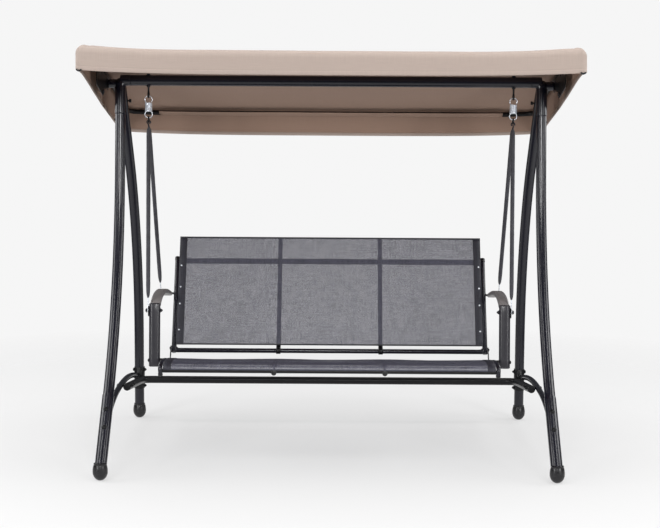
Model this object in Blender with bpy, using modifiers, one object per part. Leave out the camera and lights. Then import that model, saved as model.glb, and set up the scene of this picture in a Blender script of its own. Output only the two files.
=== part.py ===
"""Canopy swing bench: two bent-tube A-frames, a tilting fabric canopy and a hung mesh bench.

Metres, +Z up, X across the width, -Y towards the front. The floor is z = 0 and the
origin is the middle of the footprint. Left is -X.
"""
import bpy
import bmesh
from math import atan2, cos, pi, radians, sin, sqrt, tan
from mathutils import Matrix, Vector

GAP = 0.0003                      # clearance between pieces that touch
SIDES = (("left", -1), ("right", 1))

# Supporting frame
LEG_X = 0.792                     # plane of each A-frame
HUB_Y = 0.0375                    # the beam, hub and suspension line
LEG_APEX_Z = 1.376                # where both leg axes of one side meet
BEAM_Z = 1.389
BEAM_R = 0.0200
LEG_R = 0.0195
LEG_LOWER_R = 0.0205
STUB_R = 0.0207                   # hub stubs that take the legs
STUB_LENGTH = 0.113
BEAM_END_X = LEG_X - 0.040        # where the beam meets its hub stubs
BOSS_R, BOSS_REACH = 0.0165, 0.0455
STUD_R = 0.0050                   # the tilt knobs' studs, which the canopy turns on
STUD_REACH = 0.0070               # how far from the leg's plane a stud ends
FRONT_TOP_DEG = 6.0               # front leg: lean from vertical at the hub and at the foot
FRONT_FOOT_DEG = 42.3
FRONT_ARC_TOP_Z = 1.040
FRONT_ARC_R = 1.40
REAR_TOP_DEG = 39.2               # rear leg: lean at the hub, vertical at the foot
REAR_ARC_R = 1.17
REAR_FOOT_Y = 0.533
FOOT_Z = 0.034                    # where a leg's axis meets the middle of its foot
FOOT_PROFILE = ((0.0, 0.060), (0.0215, 0.060), (0.0245, 0.050), (0.0262, 0.034), (0.0255, 0.020),
                (0.0215, 0.008), (0.0150, 0.0015), (0.0110, 0.0), (0.0, 0.0))

# Braces near the floor
BRACE_X = 0.801
BRACE_R = 0.0110
BRACE_TOP = (0.090, 0.2270)       # (y, z) of its highest point
BRACE_REAR_R = 1.89
BRACE_FRONT_R = 0.80
BRACE_SPLIT_Y = -0.100            # where the rear arc passes into the tighter front arc
BRACE_FRONT_Y = -0.447
BRACE_REAR_Y = 0.5000
CROSSBAR_R = 0.0150
CROSSBAR_Y = 0.4945
CROSSBAR_Z = 0.167
CROSSBAR_END = (0.020, 0.2230)    # (y, z) of the forward ends beside the braces
CROSSBAR_END_X = BRACE_X - BRACE_R - CROSSBAR_R - 0.0005
CROSSBAR_BEND_R = 0.045

# Canopy
CANOPY_HALF_X = 0.866
CANOPY_FRONT_Y = -0.575
CANOPY_REAR_Y = 0.577
CANOPY_TUBE_R = 0.0095
CANOPY_SHELL = 0.0025
TOP_FRONT_Z, TOP_REAR_Z, TOP_CROWN = 1.480, 1.279, 0.049       # along the middle
EDGE_FRONT_Z, EDGE_REAR_Z, EDGE_CROWN = 1.499, 1.285, 0.036    # along each side
EDGE_RISE_START = 0.50            # |x| where the top starts to change to its side height
HEM_FRONT_Z, HEM_REAR_Z = 1.398, 1.178
HEM_CORNER_RISE = 0.013
CANOPY_CORNER_R = 0.055
CANOPY_BORDER = 0.012             # width of the rolled edge between top and valance
EDGE_ROLL = ((0.0085, 0.0035), (0.0035, 0.0085))    # (outward, down) steps of that edge
SIDE_TUBE_X = 0.8445
END_TUBE_INSET = 0.0145           # front and rear tubes, in from the cover's edges
PIVOT_Z = LEG_APEX_Z
BRACKET_X, BRACKET_SHEET = LEG_X + 0.0465, 0.0030
BRACKET_FRONT_Y, BRACKET_REAR_Y = -0.232, 0.078
BRACKET_EDGE = ((-0.232, 1.367), (-0.090, 1.330), (-0.078, 1.333), (-0.073, 1.344), (-0.066, 1.354),
                (0.018, 1.3560), (0.0375, 1.3520), (0.052, 1.3565), (0.062, 1.370), (0.066, 1.386))
KNOB_R, KNOB_LENGTH, KNOB_LOBES = 0.0115, 0.0125, 5
TUBE_JOINT_X = 0.700              # where side tubes plug into the front and rear tubes

# Suspension
HOOK_X = 0.687
EYE_ROD_R = 0.0035
EYE_RING_R = 0.0100
EYE_Z = 1.3352
SPRING_WIRE_R = 0.00175
SPRING_COIL_R = 0.01225
SPRING_LOOP_R = 0.0138
SPRING_LOOP_TOP_Z, SPRING_LOOP_LOW_Z = 1.3171, 1.2625
SPRING_TURNS = 6
SPRING_STEPS = 12                 # points per turn
SWING_Z = 1.3286                  # springs turn here on the eye bolts
LINK_WIRE_R = 0.0025
LINK_RING_R = 0.0105
LINK_Z = 1.2428
ROCK_Z = 1.2512                   # links turn here in the springs' lower loops
HANGER_WIRE_R = 0.0020
HANGER_EYE_R = 0.0065
HANGER_EYE_Z = 1.2330
SLEEVE_R = 0.0080
SLEEVE_TAPER = 0.050
HANGER_X = 0.6665
HANGER_SPREAD = 0.0050            # each hanger's top eye, from the middle of the link ring

# Bench
POST_X = 0.6421
POST_WIDTH, POST_DEPTH = 0.0410, 0.0260
POST_LOW = (-0.2061, 0.3411)       # (y, z) of the arm post's ends
POST_TOP = (-0.1823, 0.5733)
ARM_WIDTH, ARM_DEPTH = 0.0400, 0.0170
ARM_POINTS = ((-0.1650, 0.5620), (-0.1370, 0.5750), (-0.0820, 0.5870), (-0.0125, 0.5915),
              (0.0570, 0.5890), (0.1460, 0.5770), (0.2535, 0.5555))
FRONT_BOLT = (-0.1850, 0.5465)    # (y, z) of the bolts that hold the hangers
REAR_BOLT = (0.2385, 0.5584)
BOLT_R = 0.0040
BOLT_HEAD_R, BOLT_HEAD_HALF = 0.0080, 0.0030
RECLINE_DEG = 25.5
SEAT_RAIL_X, SEAT_RAIL_R = 0.6045, 0.0078
# (y, z) points along a side rail's middle, from its turned-down front end to its rear end
SEAT_CURVE = ((-0.3450, 0.3350), (-0.3530, 0.3550), (-0.3440, 0.3670), (-0.3150, 0.3725),
              (-0.2700, 0.3715), (-0.2050, 0.3655), (-0.1000, 0.3470), (0.0000, 0.3255),
              (0.1185, 0.3000))
SEAT_RISE = 0.0065                # from a side rail's middle to the top of the seat fabric
FRONT_RAIL, FRONT_RAIL_R = (-0.3490, 0.3515), 0.0075
REAR_RAIL_Y, REAR_RAIL_R = 0.1005, 0.0050
STAY_FRONT_Y, STAY_REAR_Y = -0.3200, 0.0850
STAY_X, STAY_R = 0.1985, 0.0085
BACK_LOW = (0.1363, 0.3698)       # (y, z) of the back fabric's lower edge
BACK_HEIGHT = 0.4060              # height between its lower and upper edges
BACK_HALF_X = 0.5985
BACK_BAR_X, BACK_BAR_R = 0.6060, 0.0098
BACK_BAR_TOP_Z = 0.6945
REAR_BAR = (0.1165, 0.3510)
REAR_BAR_R = 0.0090
MID_RAIL_Z, MID_RAIL_R = 0.6795, 0.0110
SLING = 0.0014                    # thickness of the mesh fabric
PLATE_R, PLATE_SHEET = 0.0100, 0.0030               # corner plates: end radius and thickness


# ---------------------------------------------------------------- scene and materials

def clear_scene():
    for item in list(bpy.data.objects):
        bpy.data.objects.remove(item, do_unlink=True)


def make_collection(name):
    collection = bpy.data.collections.new(name)
    bpy.context.scene.collection.children.link(collection)
    return collection


def make_material(name, colour, roughness, metallic=0.0):
    material = bpy.data.materials.new(name)
    material.use_nodes = True
    shader = material.node_tree.nodes["Principled BSDF"]
    shader.inputs["Base Color"].default_value = (*colour, 1.0)
    shader.inputs["Roughness"].default_value = roughness
    shader.inputs["Metallic"].default_value = metallic
    material.diffuse_color = (*colour, 1.0)
    return material


clear_scene()
PARTS = make_collection("canopy_swing_bench")
CUTTERS = make_collection("cutters")
PAINT = make_material("powder_coated_steel", (0.028, 0.029, 0.040), 0.38, 0.3)
BLACK = make_material("black_steel", (0.010, 0.010, 0.012), 0.45, 0.4)
ZINC = make_material("zinc_plated_steel", (0.62, 0.66, 0.70), 0.30, 1.0)
RUBBER = make_material("black_plastic", (0.014, 0.013, 0.016), 0.40)
CANOPY_CLOTH = make_material("canopy_fabric", (0.45, 0.36, 0.31), 0.85)
MESH_CLOTH = make_material("mesh_fabric", (0.16, 0.16, 0.18), 0.80)
SLEEVE_CLOTH = make_material("hanger_sleeve", (0.050, 0.050, 0.058), 0.75)


def make_pivot(name, y, z):
    """An empty on a joint's axis, at its place in the world."""
    empty = bpy.data.objects.new(name, None)
    empty.location = (0.0, y, z)
    empty.empty_display_size = 0.05
    PARTS.objects.link(empty)
    return empty


CANOPY_PIVOT = make_pivot("canopy_pivot", HUB_Y, PIVOT_Z)
SWING_PIVOT = make_pivot("swing_pivot", HUB_Y, SWING_Z)
LINK_PIVOT = make_pivot("link_pivot", HUB_Y, ROCK_Z)
BENCH_PIVOT = make_pivot("bench_pivot", HUB_Y, ROCK_Z)


def hang_on(item, pivot):
    """Parent a piece that is placed in world coordinates to a pivot empty."""
    item.parent = pivot
    item.matrix_parent_inverse = Matrix.Translation(pivot.location).inverted()
    return item


# ---------------------------------------------------------------- modelling helpers

def add_object(name, data, material, collection=None):
    item = bpy.data.objects.new(name, data)
    (collection or PARTS).objects.link(item)
    if material is not None:
        data.materials.append(material)
    return item


def shade(item, angle=40):
    item.data.shade_smooth()
    item.data.set_sharp_from_angle(angle=radians(angle))


def tube(name, points, radius, material, rounds=3, scales=None):
    """A round bar along a line of points, with closed ends."""
    curve = bpy.data.curves.new(name, "CURVE")
    curve.dimensions = "3D"
    curve.bevel_depth = radius
    curve.bevel_resolution = rounds
    curve.use_fill_caps = True
    spline = curve.splines.new("POLY")
    spline.points.add(len(points) - 1)
    for index, point in enumerate(points):
        spline.points[index].co = (*point, 1.0)
        if scales:
            spline.points[index].radius = scales[index]
    return add_object(name, curve, material)


def as_mesh(item):
    """Turn a curve object into a mesh object of the same name, with its caps welded."""
    bpy.context.view_layer.update()
    graph = bpy.context.evaluated_depsgraph_get()
    mesh = bpy.data.meshes.new_from_object(item.evaluated_get(graph))
    form = bmesh.new()
    form.from_mesh(mesh)
    bmesh.ops.remove_doubles(form, verts=form.verts, dist=0.00001)
    form.to_mesh(mesh)
    form.free()
    name = item.name
    collection = item.users_collection[0]
    matrix = item.matrix_world.copy()
    bpy.data.objects.remove(item)
    solid = bpy.data.objects.new(name, mesh)
    solid.matrix_world = matrix
    collection.objects.link(solid)
    return solid


def rod(name, start, end, radius, material, segments=16, collection=None):
    """A straight cylinder between two points."""
    start, end = Vector(start), Vector(end)
    axis = end - start
    form = bmesh.new()
    turn = axis.to_track_quat("Z", "Y").to_matrix().to_4x4()
    place = Matrix.Translation((start + end) / 2) @ turn
    bmesh.ops.create_cone(form, cap_ends=True, segments=segments, radius1=radius,
                          radius2=radius, depth=axis.length, matrix=place)
    mesh = bpy.data.meshes.new(name)
    form.to_mesh(mesh)
    form.free()
    item = add_object(name, mesh, material, collection)
    shade(item)
    return item


def combine(item, other, operation):
    """Join or cut one piece with another, which is kept as a hidden cutter."""
    other.hide_render = True
    other.display_type = "WIRE"
    modifier = item.modifiers.new(operation.lower(), "BOOLEAN")
    modifier.operation = operation
    modifier.object = other
    modifier.solver = "EXACT"


def turned(name, profile, place, material, steps=18):
    """A solid of revolution about Z from (radius, height) pairs, top to bottom."""
    form = bmesh.new()
    points = [form.verts.new((radius, 0.0, height)) for radius, height in profile]
    for first, second in zip(points, points[1:]):
        form.edges.new((first, second))
    mesh = bpy.data.meshes.new(name)
    form.to_mesh(mesh)
    form.free()
    item = add_object(name, mesh, material)
    item.location = place
    screw = item.modifiers.new("turn", "SCREW")
    screw.steps = steps
    screw.render_steps = steps
    screw.use_merge_vertices = True
    screw.merge_threshold = 0.00001
    screw.use_smooth_shade = True
    return item


def sheet(name, rows, half_width, columns, thickness, material):
    """A thin sheet: a side profile of (y, z) rows, drawn out across the width."""
    form = bmesh.new()
    bmesh.ops.create_grid(form, x_segments=columns, y_segments=len(rows) - 1, size=1.0)
    for vert in form.verts:
        row = round((vert.co.y + 1) / 2 * (len(rows) - 1))
        vert.co = (half_width * vert.co.x, *rows[row])
    mesh = bpy.data.meshes.new(name)
    form.to_mesh(mesh)
    form.free()
    item = add_object(name, mesh, material)
    thicken(item, thickness)
    return item


def thicken(item, thickness):
    """Give a surface its thickness on the side away from its normals."""
    solidify = item.modifiers.new("thickness", "SOLIDIFY")
    solidify.thickness = thickness
    solidify.offset = -1.0
    shade(item)


def flat_shape(name, outline, thickness, material):
    """A plate from its outline of (y, z) points, centred on x = 0."""
    curve = bpy.data.curves.new(name, "CURVE")
    curve.dimensions = "2D"
    curve.fill_mode = "BOTH"
    curve.extrude = thickness / 2
    spline = curve.splines.new("POLY")
    spline.points.add(len(outline) - 1)
    for index, (across, up) in enumerate(outline):
        spline.points[index].co = (across, up, 0.0, 1.0)
    spline.use_cyclic_u = True
    item = add_object(name, curve, material)
    item.rotation_euler = (pi / 2, 0.0, pi / 2)
    return item


def rounded_strip(start, end, radius, steps=6):
    """The outline of a strip with round ends between two points."""
    lean = atan2(end[1] - start[1], end[0] - start[0])
    outline = []
    for centre, first in ((start, lean + pi / 2), (end, lean - pi / 2)):
        for step in range(steps + 1):
            angle = first + pi * step / steps
            outline.append((centre[0] + radius * cos(angle), centre[1] + radius * sin(angle)))
    return outline


def oval_section(name, width, depth):
    """A flat-oval profile for bent flat tubes: two half circles joined by straights."""
    curve = bpy.data.curves.new(name, "CURVE")
    curve.dimensions = "2D"
    spline = curve.splines.new("POLY")
    radius = depth / 2
    straight = width / 2 - radius
    points = []
    for side in (1, -1):
        for step in range(7):
            angle = side * pi / 2 - side * step * pi / 6
            x = side * (straight + radius * cos(angle))
            points.append((x, radius * sin(angle)))
    spline.points.add(len(points) - 1)
    for index, (x, y) in enumerate(points):
        spline.points[index].co = (x, y, 0.0, 1.0)
    spline.use_cyclic_u = True
    item = add_object(name, curve, None, CUTTERS)
    item.hide_render = True
    item.display_type = "WIRE"
    return item


def flat_tube(name, points, section, material):
    """A flat-oval bar along a line in a plane of constant x, wide side across."""
    curve = bpy.data.curves.new(name, "CURVE")
    curve.dimensions = "3D"
    curve.twist_mode = "Z_UP"
    curve.bevel_mode = "OBJECT"
    curve.bevel_object = section
    curve.use_fill_caps = True
    spline = curve.splines.new("POLY")
    spline.points.add(len(points) - 1)
    for index, point in enumerate(points):
        spline.points[index].co = (*point, 1.0)
    return add_object(name, curve, material)


# ---------------------------------------------------------------- lines in the (y, z) plane

def arc(start, from_deg, to_deg, radius, steps):
    """Points of an arc that runs down from start as its lean goes from one angle to the other.

    A positive lean heads towards -y. The start itself is not repeated.
    """
    y0, z0 = start
    bend = 1 if to_deg > from_deg else -1
    points = []
    for step in range(1, steps + 1):
        lean = radians(from_deg + (to_deg - from_deg) * step / steps)
        y = y0 - bend * radius * (cos(radians(from_deg)) - cos(lean))
        z = z0 - bend * radius * (sin(lean) - sin(radians(from_deg)))
        points.append((y, z))
    return points


def front_leg_line():
    """The front leg's axis from its hub stub to its foot."""
    lean = radians(FRONT_TOP_DEG)
    reach = STUB_LENGTH + GAP
    start = (HUB_Y - reach * sin(lean), LEG_APEX_Z - reach * cos(lean))
    arc_top = (HUB_Y - (LEG_APEX_Z - FRONT_ARC_TOP_Z) * tan(lean), FRONT_ARC_TOP_Z)
    bend = arc(arc_top, FRONT_TOP_DEG, FRONT_FOOT_DEG, FRONT_ARC_R, 10)
    return [start, arc_top] + bend


def rear_leg_line():
    """The rear leg's axis from its hub stub to its foot: it leans back, then turns vertical."""
    lean = radians(REAR_TOP_DEG)
    reach = STUB_LENGTH + GAP
    start = (HUB_Y + reach * sin(lean), LEG_APEX_Z - reach * cos(lean))
    arc_top_y = REAR_FOOT_Y - REAR_ARC_R * (1 - cos(lean))
    arc_top = (arc_top_y, LEG_APEX_Z - (arc_top_y - HUB_Y) / tan(lean))
    bend = arc(arc_top, -REAR_TOP_DEG, 0.0, REAR_ARC_R, 12)
    return [start, arc_top] + bend + [(REAR_FOOT_Y, FOOT_Z)]


def in_plane(points, x):
    return [(x, y, z) for y, z in points]


def back_point(z, behind=0.0):
    """The (y, z) of the reclined back plane at a height, moved back by a distance."""
    slope = tan(radians(RECLINE_DEG))
    y = BACK_LOW[0] + (z - BACK_LOW[1]) * slope
    return y + behind / cos(radians(RECLINE_DEG)), z


# ---------------------------------------------------------------- supporting frame

def build_beam():
    start, end = (-BEAM_END_X, HUB_Y, BEAM_Z), (BEAM_END_X, HUB_Y, BEAM_Z)
    beam = rod("top_beam", start, end, BEAM_R, PAINT, 20)
    for side, sign in SIDES:
        low = (sign * HOOK_X, HUB_Y, BEAM_Z - BEAM_R - 0.01)
        high = (sign * HOOK_X, HUB_Y, BEAM_Z)
        hole = rod("beam_hole_" + side, low, high, EYE_ROD_R + GAP, None, 12, CUTTERS)
        combine(beam, hole, "DIFFERENCE")


def build_hub(side, sign):
    """A cast hub: two leg stubs, a beam stub and a boss with the canopy's pivot hole."""
    x = sign * LEG_X
    apex = Vector((x, HUB_Y, LEG_APEX_Z))
    leans = (radians(FRONT_TOP_DEG), -radians(REAR_TOP_DEG))
    ends = [apex - STUB_LENGTH * Vector((0.0, sin(a), cos(a))) for a in leans]
    hub = rod("hub_" + side, apex, ends[0], STUB_R, PAINT)
    rear = rod("hub_rear_stub_" + side, apex, ends[1], STUB_R, None, 16, CUTTERS)
    stub_end = sign * (BEAM_END_X + GAP)
    beam = rod("hub_beam_stub_" + side, (x, HUB_Y, BEAM_Z), (stub_end, HUB_Y, BEAM_Z),
               STUB_R - GAP, None, 16, CUTTERS)
    boss_end = (x + sign * BOSS_REACH, HUB_Y, PIVOT_Z)
    boss = rod("hub_boss_" + side, (x, HUB_Y, PIVOT_Z), boss_end, BOSS_R, None, 16, CUTTERS)
    ball_form = bmesh.new()
    bmesh.ops.create_uvsphere(ball_form, u_segments=16, v_segments=10, radius=STUB_R + 0.0012,
                              matrix=Matrix.Translation(apex))
    ball_mesh = bpy.data.meshes.new("hub_ball_" + side)
    ball_form.to_mesh(ball_mesh)
    ball_form.free()
    ball = add_object("hub_ball_" + side, ball_mesh, None, CUTTERS)
    for piece in (rear, beam, boss, ball):
        combine(hub, piece, "UNION")
    hole_start = (x + sign * (STUD_REACH - 0.001), HUB_Y, PIVOT_Z)
    hole_end = (x + sign * (BOSS_REACH + 0.010), HUB_Y, PIVOT_Z)
    hole = rod("hub_hole_" + side, hole_start, hole_end, STUD_R + GAP, None, 12, CUTTERS)
    combine(hub, hole, "DIFFERENCE")


def build_foot(name, x, y, lean_deg, leg_r):
    """An egg-shaped foot with a flat base and a socket for the leg's end."""
    foot = turned(name, FOOT_PROFILE, (x, y, 0.0), RUBBER)
    up = Vector((0.0, sin(radians(lean_deg)), cos(radians(lean_deg))))
    centre = Vector((x, y, FOOT_Z))
    socket = rod(name + "_socket", centre - up * GAP, centre + up * 0.06,
                 (leg_r + GAP) / cos(pi / 16), None, 16, CUTTERS)
    combine(foot, socket, "DIFFERENCE")


def build_front_leg(side, sign):
    line = front_leg_line()
    tube("front_leg_" + side, in_plane(line, sign * LEG_X), LEG_R, PAINT)
    y, z = line[-1]
    lean = radians(FRONT_FOOT_DEG)
    top = (y - 2 * GAP * sin(lean), z - 2 * GAP * cos(lean))
    foot_y = y - (z - FOOT_Z) * tan(lean)
    tube("front_leg_lower_" + side, in_plane([top, (foot_y, FOOT_Z)], sign * LEG_X),
         LEG_LOWER_R, PAINT)
    build_foot("front_foot_" + side, sign * LEG_X, foot_y, FRONT_FOOT_DEG, LEG_LOWER_R)


def build_rear_leg(side, sign):
    tube("rear_leg_" + side, in_plane(rear_leg_line(), sign * LEG_X), LEG_R, PAINT)
    build_foot("rear_foot_" + side, sign * LEG_X, REAR_FOOT_Y, 0.0, LEG_R)


def brace_height(y):
    """Height of a side brace's axis: a wide arc behind, a tighter one in front."""
    top_y, top_z = BRACE_TOP
    if y >= BRACE_SPLIT_Y:
        return top_z - BRACE_REAR_R + sqrt(BRACE_REAR_R ** 2 - (y - top_y) ** 2)
    lean = (top_y - BRACE_SPLIT_Y) / BRACE_REAR_R
    split_z = top_z - BRACE_REAR_R + sqrt(BRACE_REAR_R ** 2 - (BRACE_SPLIT_Y - top_y) ** 2)
    reach = lean + (BRACE_SPLIT_Y - y) / BRACE_FRONT_R
    return split_z - BRACE_FRONT_R * (sqrt(1 - lean ** 2) - sqrt(1 - reach ** 2))


def build_brace(side, sign):
    steps = 18
    points = []
    for step in range(steps + 1):
        y = BRACE_REAR_Y + (BRACE_FRONT_Y - BRACE_REAR_Y) * step / steps
        points.append((sign * BRACE_X, y, brace_height(y)))
    tube("side_brace_" + side, points, BRACE_R, PAINT)


def build_crossbar():
    """One bar across the back, its ends bent forward and up beside the side braces."""
    corner = Vector((CROSSBAR_END_X, CROSSBAR_Y, CROSSBAR_Z))
    end = Vector((CROSSBAR_END_X, *CROSSBAR_END))
    forward = (end - corner).normalized()
    bend_out = corner + forward * CROSSBAR_BEND_R
    right = []
    for step in range(7):
        t = step / 6
        start = corner - Vector((CROSSBAR_BEND_R, 0.0, 0.0))
        right.append(start * (1 - t) ** 2 + corner * 2 * t * (1 - t) + bend_out * t ** 2)
    right.append(end)
    left = [Vector((-p.x, p.y, p.z)) for p in reversed(right)]
    tube("rear_crossbar", left + right, CROSSBAR_R, PAINT)


# ---------------------------------------------------------------- canopy

def canopy_top(x, y):
    """Height of the cover's top: crowned from front to back, higher along both sides."""
    t = (y - CANOPY_FRONT_Y) / (CANOPY_REAR_Y - CANOPY_FRONT_Y)
    bow = 4 * t * (1 - t)
    middle = TOP_FRONT_Z + (TOP_REAR_Z - TOP_FRONT_Z) * t + TOP_CROWN * bow
    edge = EDGE_FRONT_Z + (EDGE_REAR_Z - EDGE_FRONT_Z) * t + EDGE_CROWN * bow
    share = max(0.0, (abs(x) - EDGE_RISE_START) / (CANOPY_HALF_X - EDGE_RISE_START)) ** 2
    return middle + (edge - middle) * min(share, 1.0)


def canopy_hem(x, y):
    """Height of the valance's lower edge at a point of the cover's outline."""
    t = (y - CANOPY_FRONT_Y) / (CANOPY_REAR_Y - CANOPY_FRONT_Y)
    t = min(max(t, 0.0), 1.0)
    level = HEM_FRONT_Z + (HEM_REAR_Z - HEM_FRONT_Z) * t
    corner = HEM_CORNER_RISE * (abs(x) / CANOPY_HALF_X) ** 4
    bump = 0.33 * t * (1 - t) ** 5
    return level + corner + bump * (abs(x) / CANOPY_HALF_X) ** 8


def rounded_outline(x, y, inset):
    """Pull a point of a rectangle's outline in around the plan's round corners."""
    half_x = CANOPY_HALF_X - inset
    middle_y = (CANOPY_FRONT_Y + CANOPY_REAR_Y) / 2
    half_y = (CANOPY_REAR_Y - CANOPY_FRONT_Y) / 2 - inset
    radius = CANOPY_CORNER_R - inset
    dx, dy = abs(x) * half_x - (half_x - radius), abs(y) * half_y - (half_y - radius)
    sx, sy = (1 if x > 0 else -1), (1 if y > 0 else -1)
    px, py = abs(x) * half_x, abs(y) * half_y
    if dx > 0 and dy > 0:
        reach = max(dx, dy) / sqrt(dx * dx + dy * dy)
        px = half_x - radius + dx * reach
        py = half_y - radius + dy * reach
    return sx * px, middle_y + sy * py


def canopy_marks(parts, inner, border):
    """Grid lines from -1 to 1: even between the inner marks, with one more near each edge."""
    even = [(2 * i / parts - 1) * inner for i in range(parts + 1)]
    return [-1.0, -border, *even, border, 1.0]


def outward(point):
    """The level direction away from the cover at a point of its outline."""
    middle_y = (CANOPY_FRONT_Y + CANOPY_REAR_Y) / 2
    away = Vector((point.x / CANOPY_HALF_X, (point.y - middle_y) / (CANOPY_REAR_Y - middle_y), 0.0))
    near_edge = 0.93
    return Vector([part if abs(part) > near_edge else 0.0 for part in away]).normalized()


def extend_border(form):
    """Extrude the open border of a surface and return its new vertices."""
    border = [edge for edge in form.edges if edge.is_boundary]
    made = bmesh.ops.extrude_edge_only(form, edges=border)["geom"]
    return [item for item in made if isinstance(item, bmesh.types.BMVert)]


def build_canopy_cover():
    """The cover: a crowned top whose border turns down into a valance on all four sides."""
    marks_x = canopy_marks(16, 0.93, 0.965)
    marks_y = canopy_marks(12, 0.91, 0.955)
    columns, rows = len(marks_x) - 1, len(marks_y) - 1
    form = bmesh.new()
    bmesh.ops.create_grid(form, x_segments=columns, y_segments=rows, size=1.0)
    for vert in form.verts:
        u = marks_x[round((vert.co.x + 1) / 2 * columns)]
        v = marks_y[round((vert.co.y + 1) / 2 * rows)]
        x, y = rounded_outline(u, v, CANOPY_BORDER)
        vert.co = (x, y, canopy_top(x, y))
    for grow, drop in EDGE_ROLL:
        for vert in extend_border(form):
            vert.co += outward(vert.co) * grow
            vert.co.z -= drop
    for vert in extend_border(form):
        vert.co.z = canopy_hem(vert.co.x, vert.co.y)
    mesh = bpy.data.meshes.new("canopy_cover")
    form.to_mesh(mesh)
    form.free()
    cover = add_object("canopy_cover", mesh, CANOPY_CLOTH)
    thicken(cover, CANOPY_SHELL)
    hang_on(cover, CANOPY_PIVOT)


def tube_height(x, y):
    """Height of a canopy tube's axis under the cover."""
    return canopy_top(x, y) - CANOPY_SHELL - CANOPY_TUBE_R - 0.0010


def canopy_side_points(sign):
    """A side tube: along one side, with both corners turned inward to the tube joints."""
    radius = CANOPY_CORNER_R - CANOPY_BORDER
    front, rear = CANOPY_FRONT_Y + END_TUBE_INSET, CANOPY_REAR_Y - END_TUBE_INSET
    turn = [radians(90 * step / 6) for step in range(7)]
    x_mid, plan = SIDE_TUBE_X - radius, []
    plan.append((TUBE_JOINT_X + GAP, front))
    plan += [(x_mid + radius * sin(a), front + radius - radius * cos(a)) for a in turn]
    along = 12
    for step in range(1, along):
        plan.append((SIDE_TUBE_X, front + radius + (rear - front - 2 * radius) * step / along))
    plan += [(x_mid + radius * cos(a), rear - radius + radius * sin(a)) for a in turn]
    plan.append((TUBE_JOINT_X + GAP, rear))
    line = [(sign * x, y, tube_height(x, y)) for x, y in plan]
    for end in (0, -1):
        x, y, _ = line[end]
        line[end] = (x, y, tube_height(0.0, y))
    return line


def build_canopy_frame():
    for side, sign in SIDES:
        points = canopy_side_points(sign)
        item = tube("canopy_side_tube_" + side, points, CANOPY_TUBE_R, BLACK, 2)
        hang_on(item, CANOPY_PIVOT)
    for name, index in (("canopy_front_tube", 0), ("canopy_rear_tube", -1)):
        end = Vector(canopy_side_points(1)[index])
        end.x -= 5 * GAP
        start = Vector((-end.x, end.y, end.z))
        item = rod(name, start, end, CANOPY_TUBE_R, BLACK, 12)
        hang_on(item, CANOPY_PIVOT)


def build_pivot_bracket(side, sign):
    """A plate hung under the side tube, with the pivot hole at the hub."""
    steps = 6
    run = BRACKET_FRONT_Y - BRACKET_REAR_Y
    top = [BRACKET_REAR_Y + run * step / steps for step in range(steps + 1)]
    under = CANOPY_TUBE_R + 2 * GAP
    outline = [(y, tube_height(SIDE_TUBE_X, y) - under) for y in top] + list(BRACKET_EDGE)
    flat = flat_shape("canopy_bracket_" + side, outline, BRACKET_SHEET, BLACK)
    flat.location.x = sign * (BRACKET_X + BRACKET_SHEET / 2)
    plate = as_mesh(flat)
    inner, outer = BRACKET_X - 0.010, BRACKET_X + 0.013
    hole = rod("bracket_hole_" + side, (sign * inner, HUB_Y, PIVOT_Z),
               (sign * outer, HUB_Y, PIVOT_Z), STUD_R + GAP, None, 16, CUTTERS)
    combine(plate, hole, "DIFFERENCE")
    hang_on(plate, CANOPY_PIVOT)


def build_tilt_knob(side, sign):
    """The knob that clamps the canopy's tilt, with its stud through bracket and hub."""
    face = BRACKET_X + BRACKET_SHEET + GAP

    def at(x, turn=0.0, reach=0.0):
        return sign * x, HUB_Y + reach * sin(turn), PIVOT_Z + reach * cos(turn)

    knob = rod("tilt_knob_" + side, at(face), at(face + KNOB_LENGTH), KNOB_R, RUBBER, 20)
    stud = rod("knob_stud_" + side, at(LEG_X + STUD_REACH), at(face + KNOB_LENGTH / 3), STUD_R,
               None, 12, CUTTERS)
    combine(knob, stud, "UNION")
    for lobe in range(KNOB_LOBES):
        turn = 2 * pi * lobe / KNOB_LOBES
        reach = KNOB_R + 0.002
        groove = rod("knob_groove_%s_%d" % (side, lobe), at(face - 0.002, turn, reach),
                     at(face + KNOB_LENGTH + 0.002, turn, reach), 0.0035, None, 8, CUTTERS)
        combine(knob, groove, "DIFFERENCE")
    hang_on(knob, CANOPY_PIVOT)


# ---------------------------------------------------------------- suspension

def build_eye_bolt(side, sign):
    """A rod up into the beam that ends in an open-plane eye facing sideways."""
    x = sign * HOOK_X
    points = [(x, HUB_Y, BEAM_Z - GAP), (x, HUB_Y, EYE_Z + EYE_RING_R + 0.004)]
    steps = 14
    for step in range(steps + 1):
        angle = radians(12 + 306 * step / steps)
        points.append((x, HUB_Y + EYE_RING_R * sin(angle), EYE_Z + EYE_RING_R * cos(angle)))
    tube("eye_bolt_" + side, points, EYE_ROD_R, BLACK, 2)


def spring_loop(x, z, first_deg):
    """An open loop facing front, from the angle where it starts."""
    sweep_deg, steps = 288, 12
    points = []
    for step in range(steps + 1):
        angle = radians(first_deg - sweep_deg * step / steps)
        points.append((x + SPRING_LOOP_R * sin(angle), HUB_Y, z + SPRING_LOOP_R * cos(angle)))
    return points


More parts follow.
